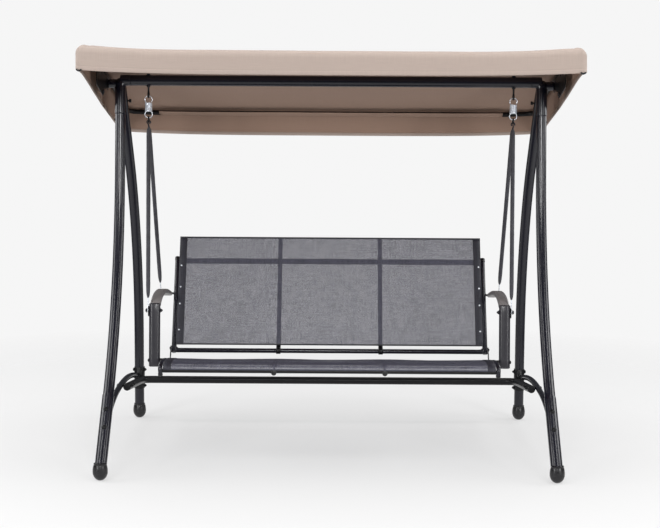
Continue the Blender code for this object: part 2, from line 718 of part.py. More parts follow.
def build_spring(side, sign):
    """A tension spring: a loop facing front, a close coil, and another loop."""
    x = sign * HOOK_X
    coil_top = SPRING_LOOP_TOP_Z - SPRING_LOOP_R - 0.0008
    coil_low = SPRING_LOOP_LOW_Z + SPRING_LOOP_R + 0.0008
    coil = []
    total = SPRING_TURNS * SPRING_STEPS
    for step in range(total + 1):
        angle = 2 * pi * step / SPRING_STEPS
        z = coil_top + (coil_low - coil_top) * step / total
        coil.append((x - SPRING_COIL_R * cos(angle), HUB_Y - SPRING_COIL_R * sin(angle), z))
    points = spring_loop(x, SPRING_LOOP_TOP_Z, 130) + coil + spring_loop(x, SPRING_LOOP_LOW_Z, -22)
    item = tube("spring_" + side, points, SPRING_WIRE_R, ZINC, 2)
    hang_on(item, SWING_PIVOT)


def build_link(side, sign):
    """The ring that joins a spring's lower loop to both hangers of its side."""
    bpy.ops.mesh.primitive_torus_add(
        major_segments=20, minor_segments=8, major_radius=LINK_RING_R, minor_radius=LINK_WIRE_R,
        location=(sign * HOOK_X, HUB_Y, LINK_Z), rotation=(0.0, pi / 2, 0.0))
    mesh = bpy.context.object.data
    matrix = bpy.context.object.matrix_world.copy()
    bpy.data.objects.remove(bpy.context.object)
    mesh.transform(matrix)
    item = add_object("link_ring_" + side, mesh, BLACK)
    shade(item, 60)
    hang_on(item, LINK_PIVOT)


def eye_points(centre, away, across, radius, gap_deg=24):
    """An open eye that starts at the rod side and ends just before closing."""
    points = []
    steps = 11
    for step in range(steps + 1):
        angle = radians((360 - 2 * gap_deg) * step / steps + gap_deg)
        points.append(centre - away * radius * cos(angle) + across * radius * sin(angle))
    return points


def build_hanger(name, sign, y_top, bolt):
    """A wire hanger with an eye at each end and a padded sleeve along its middle."""
    top = Vector((sign * HOOK_X, y_top, HANGER_EYE_Z))
    low = Vector((sign * HANGER_X, bolt[0], bolt[1]))
    along = (low - top).normalized()
    low_eye_r = BOLT_R + HANGER_WIRE_R + 0.0006
    upper = eye_points(top, -along, Vector((sign, 0.0, 0.0)), HANGER_EYE_R)
    lower = eye_points(low, along, along.cross(Vector((1.0, 0.0, 0.0))).normalized(), low_eye_r)
    start = top + along * (HANGER_EYE_R + 0.012)
    end = low - along * (low_eye_r + 0.012)
    first, last = start + along * 0.022, end - along * 0.016
    middle = [first, first + along * SLEEVE_TAPER, last - along * SLEEVE_TAPER, last]
    wide = SLEEVE_R / HANGER_WIRE_R
    points = list(reversed(upper)) + [start, first - along * 0.001] + middle
    points += [last + along * 0.001, end] + lower
    scales = [1.0] * (len(upper) + 2) + [1.6, wide, wide, 1.6] + [1.0] * (len(lower) + 2)
    item = tube(name, points, HANGER_WIRE_R, SLEEVE_CLOTH, 2, scales)
    hang_on(item, BENCH_PIVOT)


# ---------------------------------------------------------------- bench

def smooth_line(points, steps):
    """A Catmull-Rom line through (y, z) points."""
    points = [Vector(point) for point in points]
    padded = [2 * points[0] - points[1], *points, 2 * points[-1] - points[-2]]
    line = []
    for a, b, c, d in zip(padded, padded[1:], padded[2:], padded[3:]):
        for step in range(steps):
            t = step / steps
            line.append(0.5 * (2 * b + (c - a) * t + (2 * a - 5 * b + 4 * c - d) * t ** 2
                               + (3 * b - a - 3 * c + d) * t ** 3))
    line.append(points[-1])
    return line


def seat_line(rise, first_y, last_y):
    """(y, z) points of the seat's side profile between two places, moved out by a distance."""
    middle = smooth_line(SEAT_CURVE, 3)
    line = []
    for index, spot in enumerate(middle):
        along = (middle[min(index + 1, len(middle) - 1)] - middle[max(index - 1, 0)]).normalized()
        point = spot + rise * Vector((-along.y, along.x))
        if along.x > 0 and first_y <= point.x <= last_y:
            line.append(tuple(point))
    return line


def seat_height(y, rise):
    """Height of that profile, moved out by a distance, at a place on its way back."""
    line = seat_line(rise, STAY_FRONT_Y, 1.0)
    for (y0, z0), (y1, z1) in zip(line, line[1:]):
        if y0 <= y <= y1:
            return z0 + (z1 - z0) * (y - y0) / (y1 - y0)
    return line[-1][1]


def bench_rod(name, start, end, radius, segments=12, material=PAINT):
    return hang_on(rod(name, start, end, radius, material, segments), BENCH_PIVOT)


def build_seat_frame():
    below = STAY_R + SLING + 0.0012
    stay_line = seat_line(SEAT_RISE - below, STAY_FRONT_Y, STAY_REAR_Y)
    for side, sign in SIDES:
        rail_line = in_plane(smooth_line(SEAT_CURVE, 3), sign * SEAT_RAIL_X)
        hang_on(tube("seat_side_rail_" + side, rail_line, SEAT_RAIL_R, PAINT, 2), BENCH_PIVOT)
        stay = tube("seat_stay_" + side, in_plane(stay_line, sign * STAY_X), STAY_R, PAINT, 2)
        hang_on(stay, BENCH_PIVOT)
    end = SEAT_RAIL_X - SEAT_RAIL_R - 2 * GAP
    rear_z = seat_height(REAR_RAIL_Y, SEAT_RISE - SLING) - REAR_RAIL_R - 5 * GAP
    for name, (y, z), radius in (("seat_front_rail", FRONT_RAIL, FRONT_RAIL_R),
                                 ("seat_rear_rail", (REAR_RAIL_Y, rear_z), REAR_RAIL_R)):
        bench_rod(name, (-end, y, z), (end, y, z), radius)


def build_seat_sling():
    """The seat fabric: up from the front rail, over the curved front and down to the rear."""
    reach = FRONT_RAIL_R + SLING + 2 * GAP
    rows = []
    for angle in (radians(-120), radians(-95)):
        rows.append((FRONT_RAIL[0] + reach * sin(angle), FRONT_RAIL[1] + reach * cos(angle)))
    rear_y = REAR_RAIL_Y + REAR_RAIL_R
    rows += seat_line(SEAT_RISE, -1.0, rear_y - 0.005)
    rows.append((rear_y, seat_height(rear_y, SEAT_RISE)))
    half = SEAT_RAIL_X - SEAT_RAIL_R - 0.0020
    item = sheet("seat_sling", rows, half, 6, SLING, MESH_CLOTH)
    hang_on(item, BENCH_PIVOT)


def build_back_frame():
    low_z = REAR_BAR[1]
    bar_end = BACK_BAR_X - BACK_BAR_R - 2 * GAP
    for side, sign in SIDES:
        low = back_point(low_z - 0.012, 0.0105)
        high = back_point(BACK_BAR_TOP_Z, 0.0105)
        x = sign * BACK_BAR_X
        bench_rod("back_side_bar_" + side, (x, *low), (x, *high), BACK_BAR_R)
        stay = sign * STAY_X
        low = back_point(low_z + REAR_BAR_R + 0.006, STAY_R + SLING + 0.0008)
        high = back_point(BACK_LOW[1] + BACK_HEIGHT - 0.004, STAY_R + SLING + 0.0008)
        bench_rod("back_stay_" + side, (stay, *low), (stay, *high), STAY_R)
    bench_rod("rear_bar", (-bar_end, REAR_BAR[0], low_z), (bar_end, REAR_BAR[0], low_z),
              REAR_BAR_R)
    behind = 2 * STAY_R + SLING + MID_RAIL_R + 0.0014
    y, z = back_point(MID_RAIL_Z, behind)
    end = BACK_BAR_X - BACK_BAR_R - 2 * GAP
    bench_rod("back_mid_rail", (-end, y, z), (end, y, z), MID_RAIL_R)


def build_back_sling():
    rows = [back_point(BACK_LOW[1] + BACK_HEIGHT * step / 8) for step in range(9)]
    item = sheet("back_sling", rows, BACK_HALF_X, 6, SLING, MESH_CLOTH)
    hang_on(item, BENCH_PIVOT)


def build_corner_plate(side, sign):
    """A flat plate that joins a seat rail's end to the foot of the back's side bar."""
    inner = SEAT_RAIL_X + SEAT_RAIL_R + 0.0040
    low_y, low_z = REAR_RAIL_Y, seat_height(REAR_RAIL_Y, 0.0)
    high_y, high_z = back_point(REAR_BAR[1] + 0.004, 0.0105)
    outline = rounded_strip((low_y, low_z), (high_y, high_z), PLATE_R)
    plate = flat_shape("corner_plate_" + side, outline, PLATE_SHEET, PAINT)
    plate.location.x = sign * (inner + PLATE_SHEET / 2)
    hang_on(plate, BENCH_PIVOT)


def drilled(item, bolt, sign):
    """The same flat tube as a mesh, with a through bolt's hole across it."""
    solid = as_mesh(item)
    y, z = bolt
    low, high = sign * (POST_X - 0.03), sign * (POST_X + 0.03)
    hole = rod(solid.name + "_hole", (low, y, z), (high, y, z), BOLT_R + GAP, None, 12, CUTTERS)
    combine(solid, hole, "DIFFERENCE")
    return hang_on(solid, BENCH_PIVOT)


def build_arm(side, sign, post_section, arm_section):
    """A flat-oval post in front, and the armrest that sweeps back from its head."""
    post_line = in_plane((POST_LOW, POST_TOP), sign * POST_X)
    drilled(flat_tube("arm_post_" + side, post_line, post_section, PAINT), FRONT_BOLT, sign)
    arm_line = in_plane(ARM_POINTS, sign * POST_X)
    drilled(flat_tube("armrest_" + side, arm_line, arm_section, PAINT), REAR_BOLT, sign)


def build_arm_bolts(side, sign):
    """The through bolts whose outer ends carry the hangers' eyes."""
    outer = HANGER_X + 0.0060
    for name, (y, z), inner in (("arm_front_bolt_", FRONT_BOLT, POST_X - POST_WIDTH / 2 - 0.010),
                                ("arm_rear_bolt_", REAR_BOLT, BACK_BAR_X + BACK_BAR_R + 0.0004)):
        start, end = (sign * inner, y, z), (sign * outer, y, z)
        bolt = rod(name + side, start, end, BOLT_R, BLACK, 10)
        head = rod(name + "head_" + side, (sign * (outer - BOLT_HEAD_HALF), y, z),
                   (sign * (outer + BOLT_HEAD_HALF), y, z), BOLT_HEAD_R, None, 10, CUTTERS)
        combine(bolt, head, "UNION")
        hang_on(bolt, BENCH_PIVOT)


def build_frame():
    build_beam()
    build_crossbar()
    for side, sign in SIDES:
        build_hub(side, sign)
        build_front_leg(side, sign)
        build_rear_leg(side, sign)
        build_brace(side, sign)
        build_eye_bolt(side, sign)


def build_canopy():
    build_canopy_cover()
    build_canopy_frame()
    for side, sign in SIDES:
        build_pivot_bracket(side, sign)
        build_tilt_knob(side, sign)


def build_suspension():
    for side, sign in SIDES:
        build_spring(side, sign)
        build_link(side, sign)
        build_hanger("hanger_front_" + side, sign, HUB_Y - HANGER_SPREAD, FRONT_BOLT)
        build_hanger("hanger_rear_" + side, sign, HUB_Y + HANGER_SPREAD, REAR_BOLT)


def build_bench():
    post_section = oval_section("post_section", POST_WIDTH, POST_DEPTH)
    arm_section = oval_section("arm_section", ARM_WIDTH, ARM_DEPTH)
    build_seat_frame()
    build_seat_sling()
    build_back_frame()
    build_back_sling()
    for side, sign in SIDES:
        build_arm(side, sign, post_section, arm_section)
        build_arm_bolts(side, sign)
        build_corner_plate(side, sign)


build_frame()
build_canopy()
build_suspension()
build_bench()
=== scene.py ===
"""Looks of the canopy swing bench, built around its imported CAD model.

Metres, +Z up, X across the width, -Y towards the front, floor at z = 0. Left is -X.
"""

from math import atan2, copysign, cos, exp, pi, radians, sin, sqrt, tan

import bmesh
import bpy
from mathutils import Matrix, Vector, noise


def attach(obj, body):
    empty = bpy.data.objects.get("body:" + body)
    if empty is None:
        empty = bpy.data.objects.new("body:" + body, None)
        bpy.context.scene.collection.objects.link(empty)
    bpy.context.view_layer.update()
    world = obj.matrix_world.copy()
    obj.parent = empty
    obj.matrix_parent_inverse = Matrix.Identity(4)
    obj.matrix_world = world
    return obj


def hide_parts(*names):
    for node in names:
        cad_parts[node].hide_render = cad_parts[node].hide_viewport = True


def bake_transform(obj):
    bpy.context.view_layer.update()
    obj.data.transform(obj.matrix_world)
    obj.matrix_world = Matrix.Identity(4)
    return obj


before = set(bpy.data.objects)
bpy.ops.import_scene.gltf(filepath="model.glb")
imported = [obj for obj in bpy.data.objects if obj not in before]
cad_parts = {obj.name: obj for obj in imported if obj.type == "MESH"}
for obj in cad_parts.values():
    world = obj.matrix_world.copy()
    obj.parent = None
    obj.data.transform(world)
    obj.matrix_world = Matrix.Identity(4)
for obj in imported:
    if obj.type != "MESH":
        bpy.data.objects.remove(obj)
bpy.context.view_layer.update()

SIDES = (("left", -1), ("right", 1))
HUB_Y = 0.0375                        # the beam, hubs and suspension line

# Supporting frame
LEG_X = 0.792
APEX = (HUB_Y, 1.376)                 # (y, z) where both leg axes of a side meet
BEAM_Z, BEAM_R, BEAM_END_X = 1.389, 0.0200, 0.752
LEG_R, LEG_LOWER_R, STUB_R, STUB_LENGTH = 0.0195, 0.0205, 0.0207, 0.113
FRONT_TOP_DEG, FRONT_FOOT_DEG = 6.0, 42.3
FRONT_ARC_TOP_Z, FRONT_ARC_R = 1.040, 1.40
REAR_TOP_DEG, REAR_ARC_R, REAR_FOOT_Y = 39.2, 1.17, 0.533
FOOT_Z = 0.034
BRACE_X, BRACE_R = 0.801, 0.0110
BRACE_TOP = (0.090, 0.2270)           # (y, z) of its highest point
BRACE_REAR_R, BRACE_FRONT_R, BRACE_SPLIT_Y = 1.89, 0.80, -0.100
BRACE_FRONT_Y, BRACE_REAR_Y = -0.4462, 0.500
CROSSBAR_R, CROSSBAR_Y, CROSSBAR_Z = 0.0150, 0.4945, 0.167
CROSSBAR_END = (0.020, 0.2230)
CROSSBAR_END_X = BRACE_X - BRACE_R - CROSSBAR_R - 0.0005
CROSSBAR_BEND_R = 0.045
FRONT_BOLTS_Z, REAR_BOLTS_Z, SADDLE_Z = (0.2076, 0.1531), (0.202, 0.135), (0.124, 0.214)
BRACE_BOLTS_Y = (0.045, 0.098)
PLATE = 0.0030                        # thickness of the brackets and corner plates

# Canopy
CANOPY_HALF_X, CANOPY_FRONT_Y, CANOPY_REAR_Y = 0.866, -0.575, 0.577
CANOPY_MID_Y = (CANOPY_FRONT_Y + CANOPY_REAR_Y) / 2
CANOPY_HALF_Y = (CANOPY_REAR_Y - CANOPY_FRONT_Y) / 2
CANOPY_CORNER_R = 0.055
CANOPY_TUBE_R, SIDE_TUBE_X, TUBE_JOINT_X = 0.0095, 0.8445, 0.700
CLOTH = 0.0009                        # thickness of the canopy's fabric
TUBE_DROP, TUBE_INSET = 0.0165, 0.0145  # of the tubes' middle lines, from the cover's top and edge
SEAM_SHARE = 0.785                    # how far down the valance its seam is
STITCH_PITCH, STITCH_RISE = 0.0042, 0.0125
BRACKET_X, KNOB_X = 0.8385, 0.8419
EDGE_ROLL_R = 0.026                   # rounding between its top and its valance
TUBE_POCKET_HALF_X = 0.705            # cloth pockets on the front and rear tubes end here

# Suspension
HOOK_X = 0.687
EYE_Z, EYE_RING_R, EYE_ROD_R = 1.3352, 0.0100, 0.0035
SPRING_LOOP_TOP_Z, SPRING_LOOP_LOW_Z, SPRING_LOOP_R = 1.3171, 1.2625, 0.0138
SPRING_COIL_TOP_Z, SPRING_COIL_LOW_Z = 1.3055, 1.2722
SPRING_COIL_R, SPRING_WIRE_R, SPRING_TURNS = 0.01225, 0.0016, 10
LINK_Z, LINK_RING_R, LINK_WIRE_R = 1.2428, 0.0105, 0.0025
HANGER_EYE_Z, HANGER_EYE_R, HANGER_WIRE_R, HANGER_X = 1.2330, 0.0065, 0.0020, 0.6665
SLEEVE_R = 0.0078

# Bench
POST_X, POST_WIDTH, POST_DEPTH = 0.6421, 0.0410, 0.0260
POST_LOW, POST_TOP = (-0.2061, 0.3411), (-0.1823, 0.5733)
ARM_WIDTH, ARM_DEPTH = 0.0400, 0.0170
ARM_POINTS = ((-0.1650, 0.5620), (-0.1370, 0.5750), (-0.0820, 0.5870), (-0.0125, 0.5915),
              (0.0570, 0.5890), (0.1460, 0.5770), (0.2535, 0.5555))
FRONT_BOLT, REAR_BOLT, BOLT_R = (-0.1850, 0.5465), (0.2385, 0.5584), 0.0040
RECLINE_DEG = 25.5
SEAT_RAIL_X, SEAT_RAIL_R = 0.6045, 0.0078
# (y, z) points along a side rail's middle, from its turned-down front end to its rear end
SEAT_CURVE = ((-0.3450, 0.3350), (-0.3530, 0.3550), (-0.3440, 0.3670), (-0.3150, 0.3725),
              (-0.2700, 0.3715), (-0.2050, 0.3655), (-0.1000, 0.3470), (0.0000, 0.3255),
              (0.1185, 0.3000))
SEAT_RISE = 0.0065                    # from a side rail's middle to the top of the seat cloth
FRONT_RAIL, FRONT_RAIL_R = (-0.3490, 0.3515), 0.0075
REAR_RAIL_Y, REAR_RAIL_R = 0.1005, 0.0050
STAY_FRONT_Y, STAY_REAR_Y = -0.3200, 0.0850
STAY_X, STAY_R = 0.1985, 0.0085
BACK_LOW, BACK_HEIGHT, BACK_HALF_X = (0.1363, 0.3698), 0.4060, 0.5985
BACK_BAR_X, BACK_BAR_R, BACK_BAR_TOP_Z = 0.6060, 0.0098, 0.6945
REAR_BAR, REAR_BAR_R = (0.1165, 0.3510), 0.0090
MID_RAIL_Z, MID_RAIL_R = 0.6795, 0.0110
MESH = 0.0009                         # thickness of the sling fabric
BAND_WIDTH = 0.029                    # of the bindings along the slings' sides
END_DOME = 0.004                      # how far the posts' and armrests' ends are domed

# Studio
BACKGROUND, FILL = 0.921, 0.10        # brightness as seen, and as a light
FLOOR_RADIUS, FLOOR_GLOW = 3.4, 0.53
SIDE_POWER, HIGH_POWER, LOW_POWER = 42, 20, 48
REAR_POWER, FRONT_POWER, TOP_POWER = 12, 76, 122


# ---------------------------------------------------------------- materials

class Shader:
    """A Principled material and short ways to wire procedural textures into it."""

    def __init__(self, name, slot, colour, roughness, metallic=0.0):
        self.material = bpy.data.materials.new(name)
        self.material.use_nodes = True
        self.material["slot"] = slot
        self.tree = self.material.node_tree
        self.shader = self.tree.nodes["Principled BSDF"]
        self.set("Base Color", (*colour, 1.0))
        self.set("Roughness", roughness)
        self.set("Metallic", metallic)
        self.colour = colour

    def set(self, socket, value):
        self.shader.inputs[socket].default_value = value

    def node(self, kind, inputs=None, **settings):
        made = self.tree.nodes.new(kind)
        for key, value in settings.items():
            setattr(made, key, value)
        for key, value in (inputs or {}).items():
            if isinstance(value, bpy.types.NodeSocket):
                self.tree.links.new(value, made.inputs[key])
            else:
                made.inputs[key].default_value = value
        return made

    def math(self, operation, first, second=0.0):
        return self.node("ShaderNodeMath", {0: first, 1: second}, operation=operation).outputs[0]

    def place(self, source="Object", scale=(1.0, 1.0, 1.0)):
        """Coordinates in metres: the piece's own, or a sheet's flat ones."""
        if source == "Object":
            out = self.node("ShaderNodeTexCoord").outputs["Object"]
        else:
            out = self.node("ShaderNodeUVMap", uv_map=source).outputs[0]
        return self.node("ShaderNodeMapping", {"Vector": out, "Scale": scale}).outputs[0]

    def noise(self, scale, detail=2.0, where=None, rough=0.5):
        inputs = {"Vector": where or self.place(), "Scale": scale, "Detail": detail,
                  "Roughness": rough}
        return self.node("ShaderNodeTexNoise", inputs).outputs["Fac"]

    def between(self, value, low, high, from_low=0.3, from_high=0.7):
        inputs = {"Value": value, "From Min": from_low, "From Max": from_high,
                  "To Min": low, "To Max": high}
        return self.node("ShaderNodeMapRange", inputs).outputs[0]

    def mix(self, factor, first, second):
        """Colours mixed by a factor; a colour is a socket or three numbers."""
        made = self.node("ShaderNodeMix", data_type="RGBA")
        self.tree.links.new(factor, made.inputs["Factor"])
        for socket, value in ((made.inputs[6], first), (made.inputs[7], second)):
            if isinstance(value, bpy.types.NodeSocket):
                self.tree.links.new(value, socket)
            else:
                socket.default_value = (*value, 1.0)
        return made.outputs[2]

    def tint(self, factor):
        return tuple(channel * factor for channel in self.colour)

    def wire(self, socket, output):
        self.tree.links.new(output, self.shader.inputs[socket])

    def blend(self, share, other):
        """Mix another shader into the surface by a share."""
        made = self.node("ShaderNodeMixShader", {0: share, 1: self.shader.outputs[0],
                                                 2: other.outputs[0]})
        self.tree.links.new(made.outputs[0], self.tree.nodes["Material Output"].inputs["Surface"])

    def bump(self, height, strength, distance):
        made = self.node("ShaderNodeBump", {"Height": height, "Strength": strength,
                                            "Distance": distance})
        self.wire("Normal", made.outputs[0])


def painted(name, slot, colour, roughness, shine=0.5):
    """Powder coat: fine orange peel, a faint drift of colour and small pale specks."""
    look = Shader(name, slot, colour, roughness)
    drift = look.between(look.noise(5.0, 3.0), 0.0, 1.0)
    speck = look.between(look.noise(2600.0, 1.0), 0.0, 1.0, 0.56, 0.74)
    base = look.mix(drift, look.tint(0.90), look.tint(1.12))
    look.wire("Base Color", look.mix(look.math("MULTIPLY", speck, 0.12), base, look.tint(2.2)))
    look.wire("Roughness", look.between(look.noise(38.0, 4.0), roughness - 0.02,
                                        roughness + 0.03))
    look.bump(look.noise(900.0, 2.0), 0.05, 0.00012)
    look.set("Specular IOR Level", shine)
    return look.material


def plated(name, slot, colour, roughness, metallic=1.0):
    """Zinc plate with soft clouding."""
    look = Shader(name, slot, colour, roughness, metallic)
    cloud = look.between(look.noise(160.0, 3.0), 0.0, 1.0)
    look.wire("Base Color", look.mix(cloud, look.tint(0.80), look.tint(1.12)))
    look.wire("Roughness", look.between(look.noise(420.0, 3.0), roughness - 0.06,
                                        roughness + 0.12))
    look.bump(look.noise(1500.0, 2.0), 0.25, 0.00008)
    return look.material


def moulded(name, slot, colour, roughness):
    """Moulded plastic with a fine spark texture and faint scuffs."""
    look = Shader(name, slot, colour, roughness)
    scuff = look.between(look.noise(90.0, 6.0, rough=0.65), 0.0, 1.0, 0.55, 0.75)
    look.wire("Base Color", look.mix(look.math("MULTIPLY", scuff, 0.25), look.tint(1.0),
                                     look.tint(2.6)))
    look.wire("Roughness", look.between(look.noise(60.0, 4.0), roughness - 0.06,
                                        roughness + 0.14))
    look.bump(look.noise(1800.0, 1.0), 0.3, 0.00010)
    return look.material


def threads(look, where, pitch):
    """Height of two crossing sets of round threads."""
    parts = look.node("ShaderNodeSeparateXYZ", {"Vector": where})
    across, along = (look.math("ABSOLUTE", look.math("SINE", look.math("MULTIPLY", part, pi / pitch)))
                     for part in parts.outputs[:2])
    return look.math("MAXIMUM", across, along)


def crossed_noise(look, detail, *scales):
    """Noise drawn out along each thread direction, as slubs in the yarn are."""
    return [look.noise(1.0, detail, look.place("weave", (*scale, 1.0))) for scale in scales]


def canopy_stitching(look):
    """Dashes of thread along the seam above the hem."""
    trim = look.node("ShaderNodeSeparateXYZ",
                     {"Vector": look.node("ShaderNodeUVMap", uv_map="trim").outputs[0]})
    run = look.math("FRACT", look.math("MULTIPLY", trim.outputs[0], 1 / STITCH_PITCH))
    off = look.math("ABSOLUTE", look.math("SUBTRACT", trim.outputs[1], STITCH_RISE))
    return look.math("MULTIPLY", look.math("GREATER_THAN", run, 0.28),
                     look.math("LESS_THAN", off, 0.0006))


def canopy_cloth(name, colour):
    """Woven polyester: plain weave, faint slubs, a stitched seam, a little light let through."""
    look = Shader(name, "canopy_fabric", colour, 0.82)
    height = threads(look, look.place("weave"), 0.0011)
    slubs = crossed_noise(look, 3.0, (900.0, 14.0), (14.0, 900.0))
    slub = look.between(look.math("ADD", *slubs), 0.0, 1.0, 0.75, 1.25)
    cloud = look.between(look.noise(3.5, 4.0), 0.0, 1.0)
    base = look.mix(slub, look.tint(0.90), look.tint(1.09))
    base = look.mix(look.math("MULTIPLY", cloud, 0.5), base, look.tint(0.93))
    stitch = canopy_stitching(look)
    look.wire("Base Color", look.mix(stitch, base, look.tint(1.35)))
    look.wire("Roughness", look.between(slub, 0.76, 0.88, 0.0, 1.0))
    rise = look.math("ADD", look.math("MULTIPLY", height, 0.22),
                     look.math("MULTIPLY", look.noise(26.0, 4.0), 1.4))
    look.bump(look.math("ADD", rise, look.math("MULTIPLY", stitch, 0.6)), 0.55, 0.0010)
    look.set("Sheen Weight", 0.12)
    look.set("Sheen Roughness", 0.45)
    look.set("Sheen Tint", (0.9, 0.82, 0.76, 1.0))
    through = look.node("ShaderNodeBsdfTranslucent", {"Color": (0.62, 0.45, 0.36, 1.0)})
    look.blend(0.14, through)
    return look.material


def mesh_cloth(name, colour, pitch=0.0017, hole=0.705):
    """Open sling mesh: coated threads of mixed greys, with square holes where hole isn't 0."""
    look = Shader(name, "mesh_fabric", colour, 0.55)
    height = threads(look, look.place("weave"), pitch)
    streaks = crossed_noise(look, 3.0, (330.0, 22.0), (22.0, 330.0))
    heather = look.between(look.math("ADD", *streaks), 0.0, 1.0, 0.75, 1.25)
    slubs = [look.between(part, 0.0, 1.0, 0.38, 0.62)
             for part in crossed_noise(look, 2.0, (230.0, 16.0), (16.0, 190.0))]
    slub = look.math("MULTIPLY", look.math("ADD", *slubs), 0.5)
    base = look.mix(heather, look.tint(0.55), look.tint(1.50))
    look.wire("Base Color", look.mix(look.math("MULTIPLY", slub, 0.55), base, look.tint(1.9)))
    look.bump(height, 0.6, 0.0006)
    if hole:
        edge = look.math("ADD", hole - 0.035, look.math("MULTIPLY", slub, 0.11))
        gap = look.math("LESS_THAN", height, edge)
        look.wire("Alpha", look.math("SUBTRACT", 1.0, gap))
    look.wire("Roughness", look.between(heather, 0.62, 0.48, 0.0, 1.0))
    return look.material


def woven(name, slot, colour, pitch=0.0013):
    """Dense webbing or sleeve cloth with a visible rib."""
    look = Shader(name, slot, colour, 0.78)
    height = threads(look, look.place(), pitch)
    parts = look.node("ShaderNodeSeparateXYZ", {"Vector": look.place()})
    turns = look.math("MULTIPLY", parts.outputs[2], pi / pitch)
    rib = look.math("ABSOLUTE", look.math("SINE", turns))
    drift = look.between(look.noise(45.0, 4.0), 0.0, 1.0)
    look.wire("Base Color", look.mix(drift, look.tint(0.80), look.tint(1.28)))
    look.wire("Roughness", look.between(look.noise(300.0), 0.70, 0.86))
    look.bump(look.math("ADD", rib, look.math("MULTIPLY", height, 0.5)), 0.5, 0.0005)
    look.set("Sheen Weight", 0.15)
    return look.material


PAINT = painted("powder_coat", "powder_coated_steel", (0.0050, 0.0050, 0.0105), 0.22)
ARM_PAINT = painted("arm_coat", "powder_coated_steel", (0.020, 0.019, 0.024), 0.30)
# Much lighter than the post's paint: a painted reflection of the front and top light on the armrest.
ARMREST_PAINTED_SHEEN = painted("armrest_painted_sheen", "powder_coated_steel", (0.190, 0.178, 0.178), 0.36)
BLACK = painted("black_coat", "black_steel", (0.003, 0.003, 0.004), 0.34, 0.28)
ZINC = plated("zinc", "zinc_plated_steel", (0.78, 0.82, 0.88), 0.24, 0.45)
# Dark zinc for bolts, nuts and rivets; on the hangers' upper wire it is painted shade under the
# canopy.
DARK_ZINC_AND_SHADE = plated("dark_zinc_and_painted_shade", "black_steel", (0.030, 0.030, 0.036), 0.38, 0.6)
PLASTIC = moulded("foot_plastic", "black_plastic", (0.0045, 0.0042, 0.0055), 0.30)
CANOPY = canopy_cloth("canopy_cloth", (0.445, 0.362, 0.316))
# A darker, warmer copy of the canopy cloth for its inner face and the tube pockets: painted shade
# standing in for the dim underside.
CANOPY_SHADED_INSIDE = canopy_cloth("canopy_inside_painted_shade", (0.345, 0.232, 0.176))
SLING = mesh_cloth("sling_mesh", (0.058, 0.058, 0.082))
SLING_BAND = mesh_cloth("sling_band", (0.015, 0.015, 0.023), 0.0015, 0.0)
SLEEVE = woven("sleeve_cloth", "hanger_sleeve", (0.036, 0.036, 0.044))
HEM_CLOTH = woven("hem_cloth", "mesh_fabric", (0.030, 0.030, 0.036), 0.0012)


# ---------------------------------------------------------------- modelling helpers

def place(item, material, body, nodes=()):
    """Give a piece its material and slot, the body it rides on and the CAD nodes it stands for."""
    if not item.data.materials:
        item.data.materials.append(material)
    if body:
        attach(item, body)
    if nodes:
        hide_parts(*nodes)
    return item


def link_object(name, data):
    item = bpy.data.objects.new(name, data)
    bpy.context.scene.collection.objects.link(item)
    return item


def mesh_piece(name, form, material, body, nodes=(), angle=40):
    mesh = bpy.data.meshes.new(name)
    bmesh.ops.recalc_face_normals(form, faces=form.faces)
    form.to_mesh(mesh)
    form.free()
    mesh.shade_smooth()
    mesh.set_sharp_from_angle(angle=radians(angle))
    return place(link_object(name, mesh), material, body, nodes)


def tube(name, points, radius, material, body, nodes=(), rounds=8, radii=None, cyclic=False):
    """A round tube along a line of points."""
    curve = bpy.data.curves.new(name, "CURVE")
    curve.dimensions = "3D"
    curve.bevel_depth = radius
    curve.bevel_resolution = rounds
    curve.use_fill_caps = True
    spline = curve.splines.new("POLY")
    spline.points.add(len(points) - 1)
    for index, point in enumerate(points):
        spline.points[index].co = (*point, 1.0)
        if radii:
            spline.points[index].radius = radii[index] / radius
    spline.use_cyclic_u = cyclic
    spline.use_smooth = True
    return place(link_object(name, curve), material, body, nodes)


def capped_tube(name, points, radius, material, body, nodes=(), round_r=0.0025, rounds=8):
    """A tube whose two ends are rounded over, as a plug or a folded end is."""
    points = [Vector(point) for point in points]
    turns = [radians(degrees) for degrees in (90, 65, 40, 15, 0)]
    ends = []
    for tip, inner in ((points[0], points[1]), (points[-1], points[-2])):
        along = (inner - tip).normalized()
        ends.append([tip + along * round_r * (1 - sin(a)) for a in turns])
    shrunk = [radius - round_r * (1 - cos(a)) for a in turns]
    line = ends[0] + points[1:-1] + ends[1][::-1]
    radii = shrunk + [radius] * (len(points) - 2) + shrunk[::-1]
    return tube(name, line, radius, material, body, nodes, rounds, radii)


def circle(count):
    return [2 * pi * step / count for step in range(count)]


def bridge(form, rings, closed=True):
    """Join rings of vertices one after another with quads, and close both ends."""
    for low, high in zip(rings, rings[1:]):
        for index, vert in enumerate(low):
            after = (index + 1) % len(low)
            form.faces.new((vert, low[after], high[after], high[index]))
    if closed:
        form.faces.new(list(reversed(rings[0])))
        form.faces.new(rings[-1])


def thicken(item, thickness, offset=-1.0):
    """Give a surface its thickness, inwards unless the offset says otherwise."""
    solid = item.modifiers.new("thickness", "SOLIDIFY")
    solid.thickness, solid.offset = thickness, offset
    return solid


def flat_plate(name, outline, x, sign, material, body, node, edge):
    """A plate cut to a (y, z) outline, as thick as PLATE outwards from x, with softened edges."""
    form = bmesh.new()
    face = form.faces.new([form.verts.new((sign * x, y, z)) for y, z in outline])
    for item in bmesh.ops.extrude_face_region(form, geom=[face])["geom"]:
        if isinstance(item, bmesh.types.BMVert):
            item.co.x += sign * PLATE
    plate = mesh_piece(name, form, material, body, (node,))
    soften = plate.modifiers.new("edges", "BEVEL")
    soften.width, soften.segments = edge, 2


